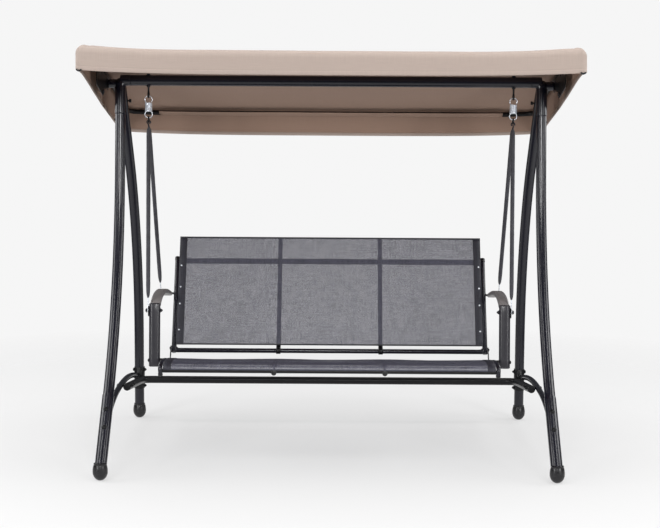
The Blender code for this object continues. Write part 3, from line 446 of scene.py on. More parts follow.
def add_turned(form, profile, place_at, axis, segments=24):
    """Add a turned solid from (distance along the axis, radius) pairs. Six segments: a hexagon."""
    place_at = Vector(place_at)
    turn = Vector(axis).normalized().to_track_quat("Z", "Y").to_matrix()
    bridge(form, [[form.verts.new(place_at + turn @ Vector((radius * cos(a), radius * sin(a), along)))
                   for a in circle(segments)] for along, radius in profile])


DOME_HEAD = ((-0.0002, 0.0072), (0.0008, 0.0074), (0.0026, 0.0066), (0.0038, 0.0048),
             (0.0044, 0.0030), (0.0044, 0.0026), (0.0022, 0.0024))
NUT = ((-0.0002, 0.0060), (0.0004, 0.0066), (0.0040, 0.0066), (0.0046, 0.0060))
WASHER = ((-0.0001, 0.0084), (0.0002, 0.0088), (0.0012, 0.0088), (0.0014, 0.0084))
BOLT_END = ((0.0, 0.0034), (0.0070, 0.0034), (0.0078, 0.0026))


def add_bolt(form, head, tail, scale=1.0):
    """A through bolt: a domed head with a washer at one end, a washer and nut at the other."""
    head, tail = Vector(head), Vector(tail)
    out = (head - tail).normalized()
    washer, dome, nut, end = [[(a * scale, r * scale) for a, r in shape]
                              for shape in (WASHER, DOME_HEAD, NUT, BOLT_END)]
    rise = out * 0.0013 * scale
    add_turned(form, washer, head, out)
    add_turned(form, dome, head + rise, out)
    add_turned(form, washer, tail, -out)
    add_turned(form, nut, tail - rise, -out, 6)
    add_turned(form, end, tail - rise, -out, 12)


def add_tube(form, points, radius, segments=20):
    """Add a round tube along points in a mesh, with flat ends."""
    points = [Vector(point) for point in points]
    last = len(points) - 1
    side = (points[1] - points[0]).orthogonal()
    rings = []
    for index, point in enumerate(points):
        along = (points[min(index + 1, last)] - points[max(index - 1, 0)]).normalized()
        side = (side - along * side.dot(along)).normalized()
        other = along.cross(side)
        rings.append([form.verts.new(point + radius * (side * cos(a) + other * sin(a)))
                      for a in circle(segments)])
    bridge(form, rings)


def smooth_line(points, steps=8):
    """A Catmull-Rom line through (y, z) or (x, y, z) points."""
    points = [Vector(point) for point in points]
    padded = [2 * points[0] - points[1], *points, 2 * points[-1] - points[-2]]
    line = []
    for a, b, c, d in zip(padded, padded[1:], padded[2:], padded[3:]):
        for step in range(steps):
            t = step / steps
            line.append(0.5 * (2 * b + (c - a) * t + (2 * a - 5 * b + 4 * c - d) * t ** 2
                               + (3 * b - a - 3 * c + d) * t ** 3))
    line.append(points[-1])
    return line


def in_plane(points, x):
    return [(x, y, z) for y, z in points]


def arc(start, from_deg, to_deg, radius, steps):
    """Points of an arc that runs down from start as its lean goes from one angle to the other."""
    y0, z0 = start
    bend = 1 if to_deg > from_deg else -1
    points = []
    for step in range(1, steps + 1):
        lean = radians(from_deg + (to_deg - from_deg) * step / steps)
        y = y0 - bend * radius * (cos(radians(from_deg)) - cos(lean))
        z = z0 - bend * radius * (sin(lean) - sin(radians(from_deg)))
        points.append((y, z))
    return points


def down_leg(lean_deg, distance):
    """(y, z) at a distance down a leg's straight top, from the apex."""
    lean = radians(lean_deg)
    return APEX[0] - distance * sin(lean), APEX[1] - distance * cos(lean)


def front_leg_line():
    lean = radians(FRONT_TOP_DEG)
    arc_top = (APEX[0] - (APEX[1] - FRONT_ARC_TOP_Z) * tan(lean), FRONT_ARC_TOP_Z)
    bend = arc(arc_top, FRONT_TOP_DEG, FRONT_FOOT_DEG, FRONT_ARC_R, 40)
    return [down_leg(FRONT_TOP_DEG, STUB_LENGTH + 0.0012), arc_top] + bend


def rear_leg_line():
    lean = radians(REAR_TOP_DEG)
    arc_top_y = REAR_FOOT_Y - REAR_ARC_R * (1 - cos(lean))
    arc_top = (arc_top_y, APEX[1] - (arc_top_y - APEX[0]) / tan(lean))
    bend = arc(arc_top, -REAR_TOP_DEG, 0.0, REAR_ARC_R, 44)
    return [down_leg(-REAR_TOP_DEG, STUB_LENGTH + 0.0012), arc_top] + bend + [(REAR_FOOT_Y, FOOT_Z)]


def brace_height(y):
    top_y, top_z = BRACE_TOP
    if y >= BRACE_SPLIT_Y:
        return top_z - BRACE_REAR_R + sqrt(BRACE_REAR_R ** 2 - (y - top_y) ** 2)
    lean = (top_y - BRACE_SPLIT_Y) / BRACE_REAR_R
    split_z = top_z - BRACE_REAR_R + sqrt(BRACE_REAR_R ** 2 - (BRACE_SPLIT_Y - top_y) ** 2)
    reach = lean + (BRACE_SPLIT_Y - y) / BRACE_FRONT_R
    return split_z - BRACE_FRONT_R * (sqrt(1 - lean ** 2) - sqrt(1 - reach ** 2))


def crossbar_line():
    corner = Vector((CROSSBAR_END_X, CROSSBAR_Y, CROSSBAR_Z))
    end = Vector((CROSSBAR_END_X, *CROSSBAR_END))
    bend_out = corner + (end - corner).normalized() * CROSSBAR_BEND_R
    start = corner - Vector((CROSSBAR_BEND_R, 0.0, 0.0))
    right = [start * (1 - t) ** 2 + corner * 2 * t * (1 - t) + bend_out * t ** 2
             for t in (step / 16 for step in range(17))]
    right.append(end)
    return [Vector((-p.x, p.y, p.z)) for p in reversed(right)] + right


# ---------------------------------------------------------------- supporting frame

def build_hub(side, sign):
    """A welded hub whose stubs flow into each other, with a slimmer neck inside each leg."""
    x = sign * LEG_X
    apex = (x, *APEX)
    form = bmesh.new()
    for lean in (FRONT_TOP_DEG, -REAR_TOP_DEG):
        end = down_leg(lean, STUB_LENGTH)
        add_tube(form, [apex, (x, *end)], STUB_R, 32)
        add_tube(form, [apex, (x, *down_leg(lean, STUB_LENGTH + 0.010))], LEG_R - 0.0030, 24)
    add_tube(form, [(x, HUB_Y, BEAM_Z), (sign * (BEAM_END_X + 0.0008), HUB_Y, BEAM_Z)], STUB_R, 32)
    add_tube(form, [(x, HUB_Y, APEX[1]), (x + sign * 0.0455, HUB_Y, APEX[1])], 0.0165, 32)
    bmesh.ops.create_uvsphere(form, u_segments=32, v_segments=20, radius=STUB_R + 0.0014,
                              matrix=Matrix.Translation(apex))
    hub = mesh_piece("hub_casting_" + side, form, PAINT, "frame", ("hub_" + side,))
    remesh = hub.modifiers.new("one_skin", "REMESH")
    remesh.mode = "VOXEL"
    remesh.voxel_size = 0.0016
    remesh.use_smooth_shade = True
    soften = hub.modifiers.new("weld_fillets", "SMOOTH")
    soften.factor = 0.5
    soften.iterations = 7


def build_legs(side, sign):
    x = sign * LEG_X
    line = front_leg_line()
    tube("front_leg_tube_" + side, in_plane(line, x), LEG_R, PAINT, "frame",
         ("front_leg_" + side,), 10)
    y, z = line[-1]
    lean = radians(FRONT_FOOT_DEG)
    foot_y = y - (z - FOOT_Z) * tan(lean)
    overlap = (y + 0.020 * sin(lean), z + 0.020 * cos(lean))
    lower = in_plane([overlap, (y, z), (foot_y, FOOT_Z)], x)
    capped_tube("front_leg_sleeve_" + side, lower, LEG_LOWER_R + 0.0006, PAINT, "frame",
                ("front_leg_lower_" + side,), 0.0012, 10)
    tube("rear_leg_tube_" + side, in_plane(rear_leg_line(), x), LEG_R, PAINT, "frame",
         ("rear_leg_" + side,), 10)
    build_foot("front_foot_boot_" + side, x, foot_y, "front_foot_" + side)
    build_foot("rear_foot_boot_" + side, x, REAR_FOOT_Y, "rear_foot_" + side)
    build_leg_fixings(side, sign, foot_y)


def build_leg_fixings(side, sign, foot_y):
    """Spring buttons at the joints, through bolts low on each leg, and the stub's thumb screw."""
    x = sign * LEG_X
    form = bmesh.new()
    for lean in (FRONT_TOP_DEG, -REAR_TOP_DEG):
        y, z = down_leg(lean, STUB_LENGTH + 0.022)
        button = ((-0.001, 0.0042), (0.0008, 0.0040), (0.0022, 0.0028), (0.0026, 0.0012))
        add_turned(form, button, (x + sign * LEG_R, y, z), (sign, 0, 0), 16)
    lean = radians(FRONT_FOOT_DEG)
    ahead = Vector((0.0, -cos(lean), sin(lean)))
    for z in FRONT_BOLTS_Z:
        middle = Vector((x, foot_y + (z - FOOT_Z) * tan(lean), z))
        reach = LEG_LOWER_R + 0.0004
        add_bolt(form, middle + ahead * reach, middle - ahead * reach)
    for z in REAR_BOLTS_Z:
        reach = LEG_R + 0.0024
        add_bolt(form, (x + sign * reach, REAR_FOOT_Y, z), (x - sign * reach, REAR_FOOT_Y, z), 0.9)
    mesh_piece("leg_fixings_" + side, form, BLACK, "frame")
    grip = bmesh.new()
    y, z = down_leg(-REAR_TOP_DEG, 0.082)
    knob = ((0.0, 0.0034), (0.0040, 0.0034), (0.0045, 0.0062), (0.0058, 0.0070), (0.0112, 0.0070),
            (0.0125, 0.0062), (0.0128, 0.0030))
    add_turned(grip, knob, (x - sign * STUB_R, y, z), (-sign, 0, 0), 20)
    mesh_piece("stub_screw_" + side, grip, BLACK, "frame")


def build_foot(name, x, y, node):
    """An egg-shaped moulded foot with a rolled lip at its mouth."""
    widest, radius = 0.0300, 0.0264
    profile = [(0.0, 0.0060), (0.0004, 0.0070)]
    for step in range(1, 13):
        z = 0.0004 + (widest - 0.0014) * (step / 12) ** 1.6
        profile.append((z, radius * sqrt(1 - ((widest - z) / (widest + 0.0010)) ** 2)))
    profile += [(0.0300, 0.02605), (0.0312, 0.0264)]
    for step in range(1, 9):
        rise = 0.0255 * step / 8
        profile.append((0.0312 + rise, 0.0264 - 0.0042 * (step / 8) ** 2))
    profile += [(0.0580, 0.0226), (0.0596, 0.0224), (0.0600, 0.0218), (0.0600, 0.0212)]
    form = bmesh.new()
    add_turned(form, profile, (x, y, 0.0), (0, 0, 1), 40)
    mesh_piece(name, form, PLASTIC, "frame", (node,))


def build_beam():
    ends = [(-BEAM_END_X, HUB_Y, BEAM_Z), (BEAM_END_X, HUB_Y, BEAM_Z)]
    tube("beam_tube", ends, BEAM_R, PAINT, "frame", ("top_beam",), 12)


def build_brace(side, sign):
    """The bent side brace, the saddle that clamps it to the rear leg and its bolts to the crossbar."""
    steps = 48
    run = BRACE_FRONT_Y - BRACE_REAR_Y
    points = [(sign * BRACE_X, y, brace_height(y))
              for y in (BRACE_REAR_Y + run * step / steps for step in range(steps + 1))]
    capped_tube("brace_tube_" + side, points, BRACE_R, PAINT, "frame", ("side_brace_" + side,),
                0.003)
    form = bmesh.new()
    fall = (CROSSBAR_Z - CROSSBAR_END[1]) / (CROSSBAR_Y - CROSSBAR_END[0])
    for y in BRACE_BOLTS_Y:
        z = (brace_height(y) + CROSSBAR_END[1] + fall * (y - CROSSBAR_END[0])) / 2
        add_bolt(form, (sign * (BRACE_X + BRACE_R), y, z),
                 (sign * (CROSSBAR_END_X - CROSSBAR_R), y, z), 0.9)
    tip = Vector(points[-1])
    along = (tip - Vector(points[-2])).normalized()
    collar = ((-0.0140, BRACE_R), (-0.0135, BRACE_R + 0.0010), (-0.0008, BRACE_R + 0.0012),
              (0.0002, BRACE_R))
    add_turned(form, collar, tip, along, 28)
    mesh_piece("brace_bolts_" + side, form, BLACK, "frame")
    build_saddle(side, sign)


def build_saddle(side, sign):
    """A folded plate round the front of the rear leg that carries brace and crossbar."""
    form = bmesh.new()
    inner, outer = LEG_R + 0.0003, LEG_R + 0.0018
    bend = [radians(180 * step / 12) for step in range(13)]
    shell = [[(radius, 0.012), *((radius * cos(a), -radius * sin(a)) for a in bend),
              (-radius, 0.012)] for radius in (outer, inner)]
    outline = shell[0] + shell[1][::-1]
    low, high = SADDLE_Z
    rows = []
    for z, shrink in ((low, 0.0006), (low + 0.001, 0.0), (high - 0.001, 0.0), (high, 0.0006)):
        row = []
        for dx, dy in outline:
            scale = 1.0 - shrink / sqrt(dx * dx + dy * dy)
            row.append(form.verts.new((sign * LEG_X + dx * scale, REAR_FOOT_Y + dy * scale, z)))
        rows.append(row)
    bridge(form, rows, closed=False)
    count = len(outline)
    for row in (rows[0], rows[-1]):
        for index in range(count // 2 - 1):
            form.faces.new((row[index], row[index + 1], row[count - 2 - index],
                            row[count - 1 - index]))
    mesh_piece("leg_saddle_" + side, form, BLACK, "frame", angle=35)


def build_crossbar():
    capped_tube("crossbar_tube", crossbar_line(), CROSSBAR_R, BLACK, "frame", ("rear_crossbar",),
                0.003, 10)


# ---------------------------------------------------------------- canopy

def side_share(x):
    return min(max(0.0, (abs(x) - 0.50) / (CANOPY_HALF_X - 0.50)) ** 2, 1.0)


def along_canopy(y):
    return (y - CANOPY_FRONT_Y) / (CANOPY_REAR_Y - CANOPY_FRONT_Y)


def canopy_top(x, y):
    """Height of the cover's top: crowned from front to back, higher along both sides."""
    t = along_canopy(y)
    bow = 4 * t * (1 - t)
    middle = 1.480 - 0.201 * t + 0.049 * bow
    edge = 1.499 - 0.214 * t + 0.036 * bow
    return middle + (edge - middle) * side_share(x)


def canopy_hem(x, y):
    t = min(max(along_canopy(y), 0.0), 1.0)
    share = abs(x) / CANOPY_HALF_X
    return 1.398 - 0.220 * t + 0.013 * share ** 4 + 0.33 * t * (1 - t) ** 5 * share ** 8


def tube_height(x, y):
    return canopy_top(x, y) - TUBE_DROP


def plan_corner(u, v, inset):
    """A point of the unit square, drawn in round the plan's corners."""
    half_x, half_y = CANOPY_HALF_X - inset, CANOPY_HALF_Y - inset
    radius = CANOPY_CORNER_R - inset
    px, py = abs(u) * half_x, abs(v) * half_y
    dx, dy = px - (half_x - radius), py - (half_y - radius)
    if dx > 0 and dy > 0:
        reach = max(dx, dy) / sqrt(dx * dx + dy * dy)
        px, py = half_x - radius + dx * reach, half_y - radius + dy * reach
    return (px if u > 0 else -px), CANOPY_MID_Y + (py if v > 0 else -py)


def edge_marks(parts, border):
    """Grid lines from -1 to 1 that crowd together near both ends."""
    even = [(2 * i / parts - 1) * (1 - border) for i in range(parts + 1)]
    near = [1 - border * k for k in (0.0, 0.2, 0.4, 0.6, 0.8)]
    return [-m for m in near] + even + list(reversed(near))


def cloth_ripple(x, y, z):
    """Small uneven pull in the fabric, in metres."""
    point = Vector((x * 2.3, y * 3.1, z * 2.0))
    return 0.0012 * noise.noise(point + Vector((3.1, 0.4, 7.7))) \
        + 0.0005 * noise.noise(point * 4.1)


def corner_pull(x, y):
    """Shallow folds that run out from each corner of the top."""
    away = Vector((CANOPY_HALF_X - 0.03 - abs(x), CANOPY_HALF_Y - 0.03 - abs(y - CANOPY_MID_Y)))
    angle = atan2(away.y, away.x)
    return 0.0022 * exp(-away.length / 0.20) * sin(angle * 9.0 + (1.3 if x > 0 else 0.2))


def outward(point):
    """The level direction off the cover's outline at one of its border points."""
    away = Vector((point.x / CANOPY_HALF_X, (point.y - CANOPY_MID_Y) / CANOPY_HALF_Y, 0.0))
    corner_x = CANOPY_HALF_X - CANOPY_CORNER_R
    corner_y = CANOPY_HALF_Y - CANOPY_CORNER_R
    dx, dy = abs(point.x) - corner_x, abs(point.y - CANOPY_MID_Y) - corner_y
    if dx > 0 and dy > 0:
        flat = Vector((dx, dy, 0.0)).normalized()
        return Vector((flat.x if away.x > 0 else -flat.x, flat.y if away.y > 0 else -flat.y, 0.0))
    if abs(away.x) * CANOPY_HALF_X - corner_x > abs(away.y) * CANOPY_HALF_Y - corner_y:
        return Vector((1.0 if away.x > 0 else -1.0, 0.0, 0.0))
    return Vector((0.0, 1.0 if away.y > 0 else -1.0, 0.0))


def extend_border(form, border):
    """Extrude a closed border: its new edges, and each new vertex with the one it left."""
    left = {tuple(vert.co): vert for edge in border for vert in edge.verts}
    made = bmesh.ops.extrude_edge_only(form, edges=border)["geom"]
    verts = [item for item in made if isinstance(item, bmesh.types.BMVert)]
    ring = set(verts)
    edges = [item for item in made if isinstance(item, bmesh.types.BMEdge)
             and item.verts[0] in ring and item.verts[1] in ring]
    return edges, [(vert, left[tuple(vert.co)]) for vert in verts]


def hang_wave(point, out, share):
    """How far the free valance stands off or in at a point, more towards its hem."""
    run = point.x if abs(out.y) > abs(out.x) else point.y
    lazy = noise.noise(Vector((run * 3.4, out.x * 5.0, out.y * 5.0 + 2.0)))
    tight = noise.noise(Vector((run * 11.0, 4.0 + out.x, out.y)))
    return share * (0.0024 * lazy + 0.0007 * tight)


def lay_top(form):
    """The crowned top, as a grid whose lines crowd together near its edges."""
    marks_x, marks_y = edge_marks(84, 0.07), edge_marks(56, 0.09)
    columns, rows = len(marks_x) - 1, len(marks_y) - 1
    bmesh.ops.create_grid(form, x_segments=columns, y_segments=rows, size=1.0)
    for vert in form.verts:
        u = marks_x[round((vert.co.x + 1) / 2 * columns)]
        v = marks_y[round((vert.co.y + 1) / 2 * rows)]
        x, y = plan_corner(u, v, EDGE_ROLL_R)
        vert.co = (x, y, canopy_top(x, y) + cloth_ripple(x, y, 0.0) + corner_pull(x, y))


def roll_edge(form):
    """Roll the top's border over; returns the new border and where each point of it looks."""
    border = [edge for edge in form.edges if edge.is_boundary]
    turned = 0.0
    for step in range(1, 9):
        angle = radians(90 * step / 8)
        border, pairs = extend_border(form, border)
        outs = {}
        for vert, _ in pairs:
            outs[vert] = outward(vert.co)
            vert.co += outs[vert] * EDGE_ROLL_R * (sin(angle) - sin(turned))
            vert.co.z -= EDGE_ROLL_R * (cos(turned) - cos(angle))
        turned = angle
    return border, outs


def hang_valance(form, border, outs):
    """Drop the valance from the rolled edge and fold its hem up inside it."""
    tops = {vert: vert.co.copy() for vert in outs}
    for share in (0.15, 0.30, 0.45, 0.58, 0.68, 0.755, SEAM_SHARE, 0.815, 0.90, 1.0):
        border, pairs = extend_border(form, border)
        for vert, old in pairs:
            top, out = tops[vert], outs[vert] = tops[old], outs[old]
            dimple = 0.0008 if share == SEAM_SHARE else 0.0
            vert.co = top + out * (hang_wave(top, out, share) - dimple)
            vert.co.z = top.z + (canopy_hem(top.x, top.y) - top.z) * share
    for inward, rise in ((0.0012, -0.0008), (0.0012, 0.0010), (0.0002, 0.0060), (0.0, 0.0060)):
        border, pairs = extend_border(form, border)
        for vert, old in pairs:
            outs[vert] = outs[old]
            vert.co -= outs[vert] * inward
            vert.co.z += rise


def lay_canopy_flat(form):
    """Flat coordinates in metres: along the weave, and height above the hem for the stitches."""
    weave, trim = form.loops.layers.uv["weave"], form.loops.layers.uv["trim"]
    for face in form.faces:
        face.normal_update()
        across, ahead, up = (abs(part) for part in face.normal)
        side_on = across > max(ahead, up)
        hanging = side_on or ahead > up
        for loop in face.loops:
            x, y, z = loop.vert.co
            run = y if side_on else x
            loop[weave].uv = (run, z if hanging else y)
            loop[trim].uv = (run, z - canopy_hem(x, y) if hanging else 1.0)


def build_canopy_cover():
    """One sheet: crowned top, rolled edge, hanging valance and a hem folded up inside it."""
    form = bmesh.new()
    lay_top(form)
    for layer in ("weave", "trim"):
        form.loops.layers.uv.new(layer)
    hang_valance(form, *roll_edge(form))
    lay_canopy_flat(form)
    cover = mesh_piece("canopy_sheet", form, CANOPY, "canopy", ("canopy_cover",), 75)
    # The sheet's inner face takes the darker copy of the cloth: painted shade under the canopy.
    cover.data.materials.append(CANOPY_SHADED_INSIDE)
    thicken(cover, CLOTH).material_offset = 1
    return cover


def canopy_side_points(sign):
    radius = CANOPY_CORNER_R - 0.012
    front, rear = CANOPY_FRONT_Y + TUBE_INSET, CANOPY_REAR_Y - TUBE_INSET
    turn = [radians(90 * step / 14) for step in range(15)]
    x_mid = SIDE_TUBE_X - radius
    plan = [(TUBE_JOINT_X, front)]
    plan += [(x_mid + radius * sin(a), front + radius - radius * cos(a)) for a in turn]
    along = 30
    for step in range(1, along):
        plan.append((SIDE_TUBE_X, front + radius + (rear - front - 2 * radius) * step / along))
    plan += [(x_mid + radius * cos(a), rear - radius + radius * sin(a)) for a in turn]
    plan.append((TUBE_JOINT_X, rear))
    line = [(sign * x, y, tube_height(x, y)) for x, y in plan]
    for end in (0, -1):
        x, y, _ = line[end]
        line[end] = (x, y, tube_height(0.0, y))
    return line


def build_canopy_frame():
    """Tubes under the cover: two bent side tubes and the straight ones that plug into them."""
    right = canopy_side_points(1)
    for side, sign in SIDES:
        tube("canopy_side_rail_" + side, canopy_side_points(sign), CANOPY_TUBE_R, BLACK, "canopy",
             ("canopy_side_tube_" + side,))
    for name, end, node in (("canopy_front_rail", right[0], "canopy_front_tube"),
                            ("canopy_rear_rail", right[-1], "canopy_rear_tube")):
        x, y, z = end
        tube(name, [(-x + 0.001, y, z), (x - 0.001, y, z)], CANOPY_TUBE_R - 0.0005, BLACK, "canopy",
             (node,))


def build_pocket(name, end_y, inward):
    """A cloth pocket sewn under the roof that holds a straight tube."""
    centre = Vector((end_y, tube_height(0.0, end_y)))
    reach = CANOPY_TUBE_R + 0.0014
    profile = [centre + Vector((inward * 0.027, 0.0040)), centre + Vector((inward * 0.016, -0.0030))]
    for step in range(9):
        angle = radians(-60 + 22.5 * step)
        profile.append(centre + reach * Vector((-inward * sin(angle), -cos(angle))))
    profile = [Vector((p.x, min(p.y, canopy_top(0.0, p.x) - 0.0030))) for p in profile]
    rows = smooth_line(profile, 3)
    form = bmesh.new()
    weave, trim = form.loops.layers.uv.new("weave"), form.loops.layers.uv.new("trim")
    grid = []
    for x in (TUBE_POCKET_HALF_X * (step / 40 - 1) for step in range(81)):
        rise = tube_height(x, end_y) - centre.y
        pucker = 0.0006 * noise.noise(Vector((x * 14.0, end_y, 1.0)))
        grid.append([form.verts.new((x, y, z + rise + pucker)) for y, z in rows])
    for left, right in zip(grid, grid[1:]):
        for index in range(len(rows) - 1):
            face = form.faces.new((left[index], right[index], right[index + 1], left[index + 1]))
            for loop in face.loops:
                loop[weave].uv = (loop.vert.co.x, loop.vert.co.z)
                loop[trim].uv = (loop.vert.co.x, abs(loop.vert.co.y - rows[0].x) + 0.006)
    # The pocket takes the darker copy of the cloth as painted shade.
    pocket = mesh_piece(name, form, CANOPY_SHADED_INSIDE, "canopy", (), 75)
    thicken(pocket, CLOTH)


def build_corner_tabs():
    """The folded loops that show under the valance at each corner."""
    form = bmesh.new()
    for sign in (-1, 1):
        for y, out in ((CANOPY_FRONT_Y, -1), (CANOPY_REAR_Y, 1)):
            x = sign * (CANOPY_HALF_X - 0.020)
            z = canopy_hem(x, y) + 0.002
            tab = [(x + sign * dx, y - out * dy, z - dz)
                   for dx, dy, dz in ((-0.007, 0.0060, 0.0), (0.0, 0.0050, 0.0045),
                                      (0.008, 0.0075, 0.0015), (0.010, 0.012, 0.0))]
            add_tube(form, smooth_line(tab, 5), 0.0030, 10)
    mesh_piece("corner_loops", form, BLACK, "canopy")


def build_bracket(side, sign):
    """The plate under a side tube that turns on the hub, with its rivets and a nut."""
    top = [0.078 - 0.310 * step / 12 for step in range(13)]
    outline = [(y, tube_height(SIDE_TUBE_X, y) - CANOPY_TUBE_R - 0.0006) for y in top]
    outline += [(-0.232, 1.367), (-0.094, 1.331), (-0.085, 1.3305), (-0.078, 1.334),
                (-0.0745, 1.341), (-0.072, 1.350), (-0.064, 1.3545), (0.018, 1.3560),
                (0.028, 1.3525), (0.0375, 1.3515), (0.047, 1.3535), (0.056, 1.360), (0.063, 1.371),
                (0.067, 1.387)]
    flat_plate("tilt_plate_" + side, outline, BRACKET_X, sign, BLACK, "canopy",
               "canopy_bracket_" + side, 0.0006)
    rivets = bmesh.new()
    for y in (-0.205, -0.120, 0.005):
        z = tube_height(SIDE_TUBE_X, y) - CANOPY_TUBE_R - 0.010
        add_turned(rivets, ((-0.0002, 0.0045), (0.0010, 0.0042), (0.0020, 0.0026), (0.0022, 0.001)),
                   (sign * BRACKET_X, y, z), (-sign, 0, 0), 14)
    add_turned(rivets, ((-0.0002, 0.0085), (0.0030, 0.0085), (0.0036, 0.0078)),
               (sign * BRACKET_X, -0.088, 1.345), (-sign, 0, 0), segments=6)
    mesh_piece("tilt_rivets_" + side, rivets, DARK_ZINC_AND_SHADE, "canopy")


def build_knob(side, sign):
    """A lobed clamp knob outside the plate, and the stud that the canopy turns on."""
    form = bmesh.new()
    profile = ((0.0, 0.93), (0.0006, 1.0), (0.0090, 1.0), (0.0108, 0.95), (0.0118, 0.82),
               (0.0122, 0.60))
    rings = []
    for along, share in profile:
        lobes = [(a, (0.0106 + 0.0011 * cos(5 * a)) * share) for a in circle(60)]
        rings.append([form.verts.new((sign * (KNOB_X + along), HUB_Y + radius * sin(a),
                                      APEX[1] + radius * cos(a))) for a, radius in lobes])
    bridge(form, rings)
    add_turned(form, ((0.0, 0.0050), (0.006, 0.0050)), (sign * 0.8360, HUB_Y, APEX[1]), (sign, 0, 0))
    mesh_piece("tilt_grip_" + side, form, PLASTIC, "knob_" + side, ("tilt_knob_" + side,))


# ---------------------------------------------------------------- suspension

def build_eye_bolt(side, sign):
    x = sign * HOOK_X
    points = [(x, HUB_Y, BEAM_Z - 0.012), (x, HUB_Y, EYE_Z + EYE_RING_R + 0.006)]
    for step in range(33):
        angle = radians(10 + 318 * step / 32)
        points.append((x, HUB_Y + EYE_RING_R * sin(angle), EYE_Z + EYE_RING_R * cos(angle)))
    tube("eye_hook_" + side, points, EYE_ROD_R, BLACK, "frame", ("eye_bolt_" + side,), 6)
    form = bmesh.new()
    for low, z in ((-1, BEAM_Z - BEAM_R), (1, BEAM_Z + BEAM_R)):
        add_turned(form, WASHER, (x, HUB_Y, z - low * 0.0006), (0, 0, low))
        add_turned(form, NUT, (x, HUB_Y, z + low * 0.0006), (0, 0, low), segments=6)
    mesh_piece("eye_nuts_" + side, form, DARK_ZINC_AND_SHADE, "frame")


def spring_loop(x, z, first_deg):
    points = []
    for step in range(25):
        angle = radians(first_deg - 288 * step / 24)
        points.append((x + SPRING_LOOP_R * sin(angle), HUB_Y, z + SPRING_LOOP_R * cos(angle)))
    return points


def build_spring(side, sign):
    """A close-wound tension spring between two open loops."""
    x = sign * HOOK_X
    top, low = SPRING_COIL_TOP_Z, SPRING_COIL_LOW_Z
    total = SPRING_TURNS * 24
    coil = []
    for step in range(total + 1):
        angle = 2 * pi * step / 24
        coil.append((x - SPRING_COIL_R * cos(angle), HUB_Y - SPRING_COIL_R * sin(angle),
                     top + (low - top) * step / total))
    points = spring_loop(x, SPRING_LOOP_TOP_Z, 130) + coil + spring_loop(x, SPRING_LOOP_LOW_Z, -22)
    form = bmesh.new()
    add_tube(form, points, SPRING_WIRE_R, 12)
    spring = mesh_piece("spring_coil_" + side, form, ZINC, None, ("spring_" + side,), 60)
    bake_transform(spring)


def build_link(side, sign):
    x = sign * HOOK_X
    points = [(x, HUB_Y + LINK_RING_R * sin(a), LINK_Z + LINK_RING_R * cos(a))
              for a in (2 * pi * step / 40 for step in range(40))]
    tube("link_wire_" + side, points, LINK_WIRE_R, BLACK, "links", ("link_ring_" + side,), 6,
         cyclic=True)


def eye_points(centre, away, across, radius, gap_deg=24):
    points = []
    for step in range(25):
        angle = radians((360 - 2 * gap_deg) * step / 24 + gap_deg)
        points.append(centre - away * radius * cos(angle) + across * radius * sin(angle))
    return points


def build_hanger(name, sign, y_top, bolt, node):
    """A wire hanger with eyes, and the padded cloth sleeve pulled over its middle."""
    top = Vector((sign * HOOK_X, y_top, HANGER_EYE_Z))
    low = Vector((sign * HANGER_X, bolt[0], bolt[1]))
    along = (low - top).normalized()
    low_eye_r = BOLT_R + HANGER_WIRE_R + 0.0006
    upper = eye_points(top, -along, Vector((sign, 0.0, 0.0)), HANGER_EYE_R)
    lower = eye_points(low, along, along.cross(Vector((1.0, 0.0, 0.0))).normalized(), low_eye_r)
    start = top + along * (HANGER_EYE_R + 0.012)
    end = low - along * (low_eye_r + 0.012)
    join = start + along * 0.040
    # The upper part of the wire gets the dark zinc as painted shade under the canopy; the lower part
    # is bright zinc.
    tube(name + "_hook", list(reversed(upper)) + [start, join], HANGER_WIRE_R, DARK_ZINC_AND_SHADE,
         "bench", (node,), 5)
    tube(name + "_wire", [join, end] + lower, HANGER_WIRE_R, ZINC, "bench", (), 5)
    first, last = start + along * 0.002, end - along * 0.028
    count = 60
    line = [first.lerp(last, step / count) for step in range(count + 1)]
    reach = (last - first).length
    radii = []
    for step in range(count + 1):
        taper = 1 - exp(-reach * min(step / 0.007, (count - step) / 0.012) / count)
        pucker = 1 + 0.05 * noise.noise(Vector((step * 0.55, y_top * 90, sign)))
        radii.append((0.0030 + (SLEEVE_R - 0.0030) * taper) * pucker)
    tube(name + "_sleeve", line, SLEEVE_R, SLEEVE, "bench", (), 6, radii)


# ---------------------------------------------------------------- bench

def seat_line(rise, first_y, last_y):
    """(y, z) points of the seat's side profile between two places, moved out by a distance."""
    middle = smooth_line(SEAT_CURVE, 6)
    line = []
    for index, spot in enumerate(middle):
        along = (middle[min(index + 1, len(middle) - 1)] - middle[max(index - 1, 0)]).normalized()
        point = spot + rise * Vector((-along.y, along.x))
        if along.x > 0 and first_y <= point.x <= last_y:
            line.append(tuple(point))
    return line


def seat_height(y, rise):
    """Height of that profile, moved out by a distance, at a place on its way back."""
    line = seat_line(rise, STAY_FRONT_Y, 1.0)
    for (y0, z0), (y1, z1) in zip(line, line[1:]):
        if y0 <= y <= y1:
            return z0 + (z1 - z0) * (y - y0) / (y1 - y0)
    return line[-1][1]


def back_point(z, behind=0.0):
    slope = tan(radians(RECLINE_DEG))
    y = BACK_LOW[0] + (z - BACK_LOW[1]) * slope
    return y + behind / cos(radians(RECLINE_DEG)), z


